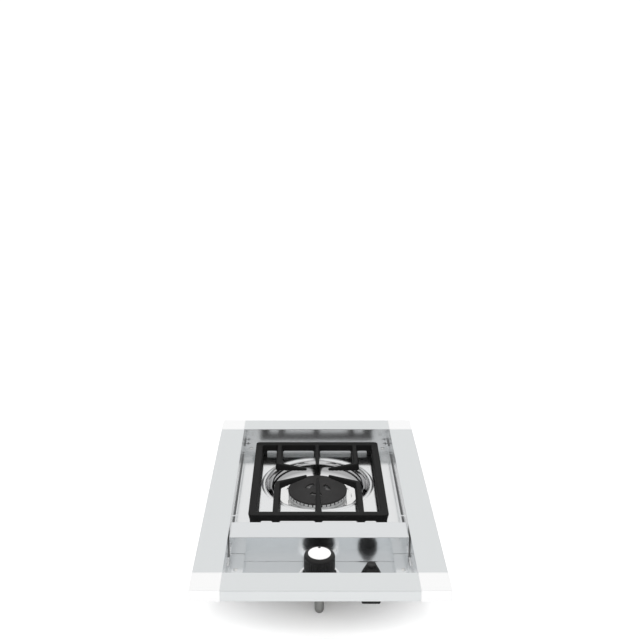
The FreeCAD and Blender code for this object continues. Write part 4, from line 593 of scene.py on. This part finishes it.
for nodeName, softness in softEdges.items():
    bm = wholeFaces(nodeName)
    openSeams(nodeName, bm)
    bevelSharp(bm, softness, 2, sharpAngle)
    finishCopy(nodeName, bm)
print(len(softEdges), "pieces with softened edges")

# Springs in the knob and the button, each given a mesh of its own; the table lists the joint that presses each
# and how far
springTravel = {"valve_spring": ("knob_push", 0.003), "button_spring": ("igniter_push", 0.005)}
for nodeName, (joint, travel) in springTravel.items():
    bm = bmesh.new()
    bm.from_mesh(frame["nodes"][nodeName].data)
    spring = finishCopy(nodeName, bm, 60)
    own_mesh(spring)

# Dome screws with a cross recess
screws = {
    "nodes": ("deck_screws", "panel_screws", "shelf_screws", "burner_screws"),
    "length": 0.0036,
    "width": 0.0009,
    "depth": 0.0009,
    "turn": 0.7,                # each screw's cross stands this much further round than the last one's
    "crease": 30,
}


# The top of each screw, found as the points that edges join, always in the same order
def screwTops(bm):
    waiting = set(bm.verts)
    tops = []
    while waiting:
        island = [waiting.pop()]
        for vert in island:
            for edge in vert.link_edges:
                other = edge.other_vert(vert)
                if other in waiting:
                    waiting.remove(other)
                    island.append(other)
        low = Vector([min(vert.co[axis] for vert in island) for axis in range(3)])
        high = Vector([max(vert.co[axis] for vert in island) for axis in range(3)])
        tops.append(Vector(((low.x + high.x) / 2, (low.y + high.y) / 2, high.z)))
    return sorted(tops, key=lambda top: (round(top.x, 4), round(top.y, 4)))


def makeScrews(nodeName):
    bm = wholeFaces(nodeName)
    cross = bmesh.new()
    half = Vector((screws["length"], screws["width"], screws["depth"] * 2)) / 2
    for index, top in enumerate(screwTops(bm)):
        for quarter in (0, 1):
            verts = addBlock(cross, -half, half)
            turn = Matrix.Rotation(screws["turn"] * index + math.pi / 2 * quarter, 4, "Z")
            bmesh.ops.transform(cross, matrix=Matrix.Translation(top) @ turn, verts=verts)
    toolMesh = bpy.data.meshes.new("crossTool")
    cross.to_mesh(toolMesh)
    cross.free()
    tool = bpy.data.objects.new("crossTool", toolMesh)
    scene.collection.objects.link(tool)
    piece = finishCopy(nodeName, bm, screws["crease"])
    cut = piece.modifiers.new("cross", "BOOLEAN")
    cut.object = tool
    cut.operation = "DIFFERENCE"
    cut.solver = "EXACT"
    cut.use_self = True
    keepResult(piece)
    bpy.data.objects.remove(tool)
    piece.data.shade_smooth()
    piece.data.set_sharp_from_angle(angle=math.radians(screws["crease"]))


for nodeName in screws["nodes"]:
    makeScrews(nodeName)
print("springs and screws made")

# Cooking grate: one soft-edged black casting
grate = {
    "barWidth": 0.0125,
    "barTop": 0.0066,
    "barHeight": 0.012,
    "barSpacing": 0.068,
    "frameWidth": 0.012,
    "frameFlare": 0.0022,       # how far the frame's outer sides lean out from top to foot
    "innerFlare": 0.8,          # the same for its inner sides, as a share
    "frameCorner": 0.006,
    "frontTip": 0.0185,         # from the burner's middle to the tip of the front finger
    "backTip": 0.030,
    "frontRoot": 0.035,         # from there to where the side bars turn inwards
    "backRoot": 0.033,
    "frontOffset": 0.0105,      # and to the tips of the slanting fingers
    "backOffset": 0.014,
    "diagonalReach": 0.019,
    "tipWidth": 0.006,
    "tipHeight": 0.004,
    "footWidth": 0.0115,
    "footOverlap": 0.002,
    "footInset": 0.0006,
    "cornerFoot": 0.017,
    "voxel": 0.0011,
    "smoothing": 0.5,
    "smoothRounds": 4,
}


def grateBar(bm, start, end, tapers):
    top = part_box("grate")[1].z
    start = Vector((*start, top))
    end = Vector((*end, top))
    way = (end - start).normalized()
    side = Vector((-way.y, way.x, 0))
    for vert in bmesh.ops.create_cube(bm, size=1)["verts"]:
        atEnd = vert.co.x > 0
        atTop = vert.co.z > 0
        narrow = grate["tipWidth"] / grate["barWidth"] if atEnd and tapers else 1
        width = (grate["barTop"] if atTop else grate["barWidth"]) * narrow
        height = grate["tipHeight"] if atEnd and tapers else grate["barHeight"]
        base = end if atEnd else start
        across = side * (width / 2 if vert.co.y > 0 else -width / 2)
        vert.co = base + across - Vector((0, 0, 0 if atTop else height))


# The frame ring: a block with rounded corners, its middle taken out, its sides leaning
def grateFrame(low, high):
    half = grate["barWidth"] / 2
    ring = bmesh.new()
    addBlock(ring, (low.x, low.y, high.z - grate["barHeight"]), high)
    upright = [edge for edge in ring.edges if abs(edge.verts[0].co.z - edge.verts[1].co.z) > half]
    bevelEdges(ring, upright, grate["frameCorner"], 4)
    flat = [face for face in ring.faces if abs(face.normal.z) > 0.9]
    bmesh.ops.inset_region(ring, faces=flat, thickness=grate["frameWidth"], use_even_offset=True)
    inner = [face for face in ring.faces if abs(face.normal.z) > 0.9
             and all(abs(vert.co.x) < high.x - half for vert in face.verts)
             and all(low.y + half < vert.co.y < high.y - half for vert in face.verts)]
    bmesh.ops.delete(ring, geom=inner, context="FACES_ONLY")
    bmesh.ops.bridge_loops(ring, edges=[edge for edge in ring.edges if len(edge.link_faces) == 1])
    centreY = (low.y + high.y) / 2
    reach = Vector((high.x - grate["frameWidth"] / 2, high.y - centreY - grate["frameWidth"] / 2))
    for vert in ring.verts:
        if vert.co.z > high.z - half:
            outside = abs(vert.co.x) > reach.x or abs(vert.co.y - centreY) > reach.y
            lean = grate["frameFlare"] * (-1 if outside else grate["innerFlare"])
            vert.co.x += math.copysign(lean, vert.co.x)
            vert.co.y += math.copysign(lean, vert.co.y - centreY)
    return ring


def makeGrate():
    low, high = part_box("grate")
    bm = bmesh.new()
    addShape(bm, grateFrame(low, high))
    half = grate["barWidth"] / 2
    middle = burnerCentre.y
    front = low.y + half
    back = high.y - half
    grateBar(bm, (0, front), (0, middle - grate["frontTip"]), True)
    grateBar(bm, (0, back), (0, middle + grate["backTip"]), True)
    for side in (-1, 1):
        x = grate["barSpacing"] * side
        for end, root, tip in ((front, middle - grate["frontRoot"], middle - grate["frontOffset"]),
                               (back, middle + grate["backRoot"], middle + grate["backOffset"])):
            grateBar(bm, (x, end), (x, root), False)
            grateBar(bm, (x, root), (grate["diagonalReach"] * side, tip), True)
            move = Matrix.Translation((x, root, high.z - grate["barHeight"] / 2))
            bmesh.ops.create_cone(bm, cap_ends=True, segments=24, radius1=half, radius2=grate["barTop"] / 2,
                                  depth=grate["barHeight"], matrix=move)
    under = high.z - grate["barHeight"] + grate["footOverlap"]
    edgeX = high.x - grate["footInset"]
    for near, far in ((low.y + grate["footInset"], low.y + grate["frameWidth"]),
                      (high.y - grate["frameWidth"], high.y - grate["footInset"])):
        addBlock(bm, (edgeX - grate["cornerFoot"], near, low.z), (edgeX, far, under))
        addBlock(bm, (-edgeX, near, low.z), (grate["cornerFoot"] - edgeX, far, under))
        for index in (-1, 0, 1):
            x = grate["barSpacing"] * index
            addBlock(bm, (x - grate["footWidth"] / 2, near, low.z), (x + grate["footWidth"] / 2, far, under))
    return finishPiece("cookingGrate", bm, "grate", "grateIron", ["grate"])


# Melts the overlapping bars of a piece into one casting, then softens it
def meltTogether(piece, voxel, smoothing, rounds):
    melt = piece.modifiers.new("melt", "REMESH")
    melt.mode = "VOXEL"
    melt.voxel_size = voxel
    soften = piece.modifiers.new("soften", "SMOOTH")
    soften.factor = smoothing
    soften.iterations = rounds
    keepResult(piece).shade_smooth()


gratePiece = makeGrate()
meltTogether(gratePiece, grate["voxel"], grate["smoothing"], grate["smoothRounds"])
print("grate made,", len(gratePiece.data.polygons), "faces")

# Bowl: polished, its lip lies on the deck and rolls down into the curved wall
bowl = {
    "floorRadius": 0.0592,
    "slopeDegrees": 74.0,       # of the wall where the roll of the lip ends
    "lip": 0.006,               # radius of that roll
    "depth": 0.025,
    "hole": 0.046,              # radius of the opening for the burner
    "sheet": 0.0008,
    "rim": 0.0035,              # flat edge round the roll
    "rimLift": 0.00005,         # keeps the bowl's underside clear of the deck
    "rimEdge": (0.0011, 0.0003),    # width of its thin outer edge, and how high that rises
    "rimFlat": (0.001, 0.0001),     # its flat top ends this far out from the roll, and this much lower
    "lipSteps": 12,
    "wallSteps": 32,
    "turnSteps": 160,
    "brushedFrom": 0.0004,      # the brushed finish starts this far outside the wall
}


def makeBowl():
    sheet = bowl["sheet"]
    lip = bowl["lip"]
    slope = math.radians(bowl["slopeDegrees"])
    curve = (bowl["depth"] + sheet) / (1 - math.cos(slope)) - lip
    wall = bowl["floorRadius"] + curve * math.sin(slope)
    opening = wall + lip * math.sin(slope)
    floor = deckTop - bowl["depth"]
    inside = []
    outside = []
    for step in range(bowl["lipSteps"]):
        angle = slope * step / bowl["lipSteps"]
        for points, radius in ((inside, lip), (outside, lip - sheet)):
            height = deckTop + sheet - lip + radius * math.cos(angle)
            points.append((opening - radius * math.sin(angle), height))
    for step in range(bowl["wallSteps"] + 1):
        angle = slope * (1 - step / bowl["wallSteps"])
        for points, radius in ((inside, curve), (outside, curve + sheet)):
            height = floor + curve - radius * math.cos(angle)
            points.append((bowl["floorRadius"] + radius * math.sin(angle), height))
    outside[0] = (opening, deckTop + bowl["rimLift"])
    rim = opening + bowl["rim"]
    slopeWidth, slopeTop = bowl["rimEdge"]
    flatStart, flatDrop = bowl["rimFlat"]
    edge = [(rim, deckTop + bowl["rimLift"]), (rim - slopeWidth, deckTop + slopeTop),
            (opening + flatStart, deckTop + sheet - flatDrop)]
    outline = edge + inside + [(bowl["hole"], floor), (bowl["hole"], floor - sheet)] + outside[::-1]
    bm = bmesh.new()
    spinOutline(bm, outline, burnerCentre, bowl["turnSteps"])
    piece = finishPiece("polishedBowl", bm, "frame", "bowlChrome", ["drip_bowl"], 40)
    paintFaces(piece, "lipSteel", lambda radius, height: radius > wall + bowl["brushedFrom"])


# Crown: a slotted ring over a plain one, with painted shade in its ports, and the hub that shows through the
# cap, brightened by painted light
crown = {
    "radius": 0.0505,
    "wall": 0.0065,
    "seatHeight": 0.008,
    "seatRound": 0.0006,
    "ports": 40,
    "portWidth": 0.0018,
    "portHeight": 0.0045,
    "toothEdge": 0.0004,
    "portShadeMargin": (0.001, 0.0005),  # the painted shade in the ports starts inside the ring's bore and ends short of its outside
    "spigotRadius": 0.042,
    "spigotWall": 0.003,
    "hubRadius": 0.024,
    "hubThickness": 0.003,
    "hubSink": 0.0035,
    "hubRound": 0.0008,
    "spokes": 3,
    "spokeWidth": 0.009,
    "spokeStart": 0.8,          # as a share of the hub's radius
    "spokeOverlap": 0.0005,
}


def makeTooth(inner, outer, bottom, top, angle):
    tooth = bmesh.new()
    corners = ((inner, bottom), (outer, bottom), (outer, top), (inner, top))
    face = tooth.faces.new([tooth.verts.new((radius, 0, height)) for radius, height in corners])
    bmesh.ops.spin(tooth, geom=[face], cent=(0, 0, 0), axis=(0, 0, 1), dvec=(0, 0, 0), angle=angle, steps=3)
    bmesh.ops.recalc_face_normals(tooth, faces=tooth.faces)
    bevelSharp(tooth, crown["toothEdge"], 1, 60)
    return tooth


def makeCrown():
    low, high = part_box("burner_crown")
    outer = crown["radius"]
    inner = outer - crown["wall"]
    spigot = crown["spigotRadius"]
    bore = spigot - crown["spigotWall"]
    seat = low.z + crown["seatHeight"]
    floor = seat + crown["hubThickness"]
    slotFloor = high.z - crown["portHeight"]
    bm = turnedShape([
        (bore, low.z), (spigot, low.z), (spigot, seat), (outer, seat, crown["seatRound"]),
        (outer, slotFloor), (inner, slotFloor), (inner, floor), (bore, floor),
    ], 3, burnerCentre, 120)
    period = 2 * math.pi / crown["ports"]
    tooth = makeTooth(inner, outer, slotFloor, high.z, period - crown["portWidth"] / outer)
    addShape(bm, tooth, [aroundBurner(period * index) for index in range(crown["ports"])])
    piece = finishPiece("slottedCrown", bm, "crown", "crownCast", ["burner_crown"])
    # Painted shade: the ring's faces from its bore to just short of its outside, above the hub's floor, which
    # take in the ports, get the near-black finish
    shadeInner = inner - crown["portShadeMargin"][0]
    shadeOuter = outer - crown["portShadeMargin"][1]
    paintFaces(piece, "portPaintedShade", lambda radius, height: shadeInner < radius < shadeOuter and height > floor)


def makeHub():
    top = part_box("burner_crown")[1].z - crown["hubSink"]
    bottom = top - crown["hubThickness"]
    inner = crown["radius"] - crown["wall"]
    hub = crown["hubRadius"]
    bm = bmesh.new()
    outline = roundedOutline([(0, bottom), (hub, bottom), (hub, top, crown["hubRound"]), (0, top)], 5)
    spinOutline(bm, outline, burnerCentre, 64, closed=False)
    half = crown["spokeWidth"] / 2
    start = hub * crown["spokeStart"]
    end = inner + crown["spokeOverlap"]
    for index in range(crown["spokes"]):
        verts = addBlock(bm, (start, -half, bottom), (end, half, top))
        bmesh.ops.transform(bm, matrix=aroundBurner(2 * math.pi / crown["spokes"] * index), verts=verts)
    finishPiece("crownHub", bm, "crown", "hubCast")


makeBowl()
makeCrown()
makeHub()
print("bowl and crown made")

# Knob: a ribbed black barrel with a rounded shoulder
knob = {
    "radius": 0.0228,
    "waist": 0.0212,
    "waistHeight": 0.0074,
    "waistRound": 0.0015,
    "skirt": 0.0252,
    "skirtHeight": 0.0016,
    "skirtRound": (0.0003, 0.0006),     # at the foot and on top
    "barrelLow": 0.0106,
    "barrelRound": 0.0012,
    "shoulder": 0.0055,
    "recess": 0.0168,           # for the disc
    "recessEdge": 0.0002,
    "discThickness": 0.0016,
    "wall": 0.003,
    "roof": 0.0045,
    "hub": 0.008,
    "hubReach": 0.0052,
    "flutes": 48,
    "fluteDepth": 0.0007,
    "fluteFade": 0.002,         # length over which the flutes run out at both ends
    "fluteSharpness": 6,
    "fluteCuts": (0.06, 0.12, 0.5, 0.88, 0.94),     # rows of points along the barrel, as shares of it
    "stepsPerFlute": 8,
}


def makeKnob():
    low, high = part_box("knob_body")
    inner = knob["radius"] - knob["wall"]
    hubUnder = low.z + knob["hubReach"]
    roof = high.z - knob["roof"]
    sunk = high.z - knob["discThickness"]
    barrelLow = low.z + knob["barrelLow"]
    footRound, topRound = knob["skirtRound"]
    bm = turnedShape([
        (0, hubUnder), (knob["hub"], hubUnder), (knob["hub"], roof), (inner, roof), (inner, low.z),
        (knob["skirt"], low.z, footRound), (knob["skirt"], low.z + knob["skirtHeight"], topRound),
        (knob["waist"], low.z + knob["waistHeight"], knob["waistRound"]),
        (knob["radius"], barrelLow, knob["barrelRound"]), (knob["radius"], high.z, knob["shoulder"]),
        (knob["recess"], high.z, knob["recessEdge"]), (knob["recess"], sunk), (0, sunk),
    ], 8, knobCentre, knob["flutes"] * knob["stepsPerFlute"])
    end = high.z - knob["shoulder"]
    for share in knob["fluteCuts"]:
        bmesh.ops.bisect_plane(bm, geom=bm.verts[:] + bm.edges[:] + bm.faces[:],
                               plane_co=(0, 0, barrelLow + (end - barrelLow) * share), plane_no=(0, 0, 1))
    for vert in bm.verts:
        across = vert.co.xy - knobCentre.xy
        if barrelLow < vert.co.z < end and across.length > inner + 0.001:
            angle = math.atan2(across.y, across.x)
            wave = abs(math.cos(angle * knob["flutes"] / 2)) ** knob["fluteSharpness"]
            fade = min(1.0, (vert.co.z - barrelLow) / knob["fluteFade"], (end - vert.co.z) / knob["fluteFade"])
            vert.co.xy -= across.normalized() * knob["fluteDepth"] * fade * wave
    finishPiece("knobBarrel", bm, "knob", "knobPlastic", ["knob_body"], 50)


# Bright ring on the panel round the knob
bezel = {"bore": 0.0272, "radius": 0.032, "outerRound": 0.0022, "innerRound": 0.0009}


def makeBezel():
    low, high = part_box("knob_bezel")
    bm = turnedShape([
        (bezel["bore"], low.z), (bezel["radius"], low.z),
        (bezel["radius"], high.z, bezel["outerRound"]), (bezel["bore"], high.z, bezel["innerRound"]),
    ], 8, knobCentre, 128)
    finishCopy("knob_bezel", bm, 40)


# Spark igniter: collar and button
igniter = {
    "bore": 0.0073,
    "base": 0.0152,
    "baseHeight": 0.0025,
    "baseRound": 0.0008,
    "thread": 0.01115,
    "neckTop": 0.00415,
    "sides": ((0.0144, 0.0083), (0.0112, 0.0148), (0.0091, 0.0183)),    # radius and height, from the flare up
    "sideRound": 0.003,
    "topRadius": 0.0085,
    "topRound": (0.0005, 0.0002),       # outside and in the bore
    "buttonRadius": 0.0070,
    "buttonRound": 0.0012,
    "buttonFoot": 0.0086,
    "footHeight": 0.004,
    "footRound": 0.0004,
    "dimple": (0.003, 0.0005),          # radius and depth of the hollow for the finger
}


def makeCollar():
    low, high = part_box("igniter_collar")
    neckTop = low.z + igniter["neckTop"]
    outerRound, boreRound = igniter["topRound"]
    bm = turnedShape([
        (igniter["thread"], low.z), (igniter["base"], low.z),
        (igniter["base"], low.z + igniter["baseHeight"], igniter["baseRound"]),
        *((radius, low.z + height, igniter["sideRound"]) for radius, height in igniter["sides"]),
        (igniter["topRadius"], high.z, outerRound), (igniter["bore"], high.z, boreRound),
        (igniter["bore"], neckTop), (igniter["thread"], neckTop),
    ], 6, buttonCentre, 72)
    finishCopy("igniter_collar", bm, 40)


def makeButton():
    low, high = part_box("igniter_button")
    foot = igniter["buttonFoot"]
    footTop = low.z + igniter["footHeight"]
    dimple, depth = igniter["dimple"]
    bm = turnedShape([
        (0, low.z), (foot, low.z, igniter["footRound"]), (foot, footTop, igniter["footRound"]),
        (igniter["buttonRadius"], footTop), (igniter["buttonRadius"], high.z, igniter["buttonRound"]),
        (dimple, high.z, dimple), (0, high.z - depth),
    ], 6, buttonCentre, 64)
    finishCopy("igniter_button", bm, 40)


makeKnob()
makeBezel()
makeCollar()
makeButton()
print("knob and igniter made")

# Gas pipe: a short fall, one bend and a run to the back
pipe = {"radius": 0.0069, "wall": 0.0014, "bend": 0.009, "turnSteps": 40, "bendSteps": 12}


def newParts(result, kind):
    return [item for item in result if isinstance(item, kind)]


def makePipe():
    low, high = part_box("gas_pipe")
    bm = bmesh.new()
    y = knobCentre.y
    bendTop = low.z + pipe["radius"] + pipe["bend"]
    for radius in (pipe["radius"], pipe["radius"] - pipe["wall"]):
        ring = bmesh.ops.create_circle(bm, segments=pipe["turnSteps"], radius=radius,
                                       matrix=Matrix.Translation((0, y, high.z)))
        edges = list(dict.fromkeys(edge for vert in ring["verts"] for edge in vert.link_edges))
        fall = bmesh.ops.extrude_edge_only(bm, edges=edges)["geom"]
        verts = newParts(fall, bmesh.types.BMVert)
        bmesh.ops.translate(bm, vec=(0, 0, bendTop - high.z), verts=verts)
        edges = [edge for edge in newParts(fall, bmesh.types.BMEdge) if all(v in verts for v in edge.verts)]
        bend = bmesh.ops.spin(bm, geom=verts + edges, cent=(0, y + pipe["bend"], bendTop), axis=(1, 0, 0),
                              dvec=(0, 0, 0), angle=math.pi / 2, steps=pipe["bendSteps"])["geom_last"]
        run = bmesh.ops.extrude_edge_only(bm, edges=newParts(bend, bmesh.types.BMEdge))["geom"]
        for vert in newParts(run, bmesh.types.BMVert):
            vert.co.y = high.y
    loops = [edge for edge in bm.edges if len(edge.link_faces) == 1]
    bmesh.ops.bridge_loops(bm, edges=[edge for edge in loops if edge.verts[0].co.z > high.z - 0.0001])
    bmesh.ops.bridge_loops(bm, edges=[edge for edge in loops if edge.verts[0].co.y > high.y - 0.0001])
    finishPiece("gasPipeBent", bm, "frame", "tubeSteel", ["gas_pipe"], 40)


makePipe()
print("pipe made")
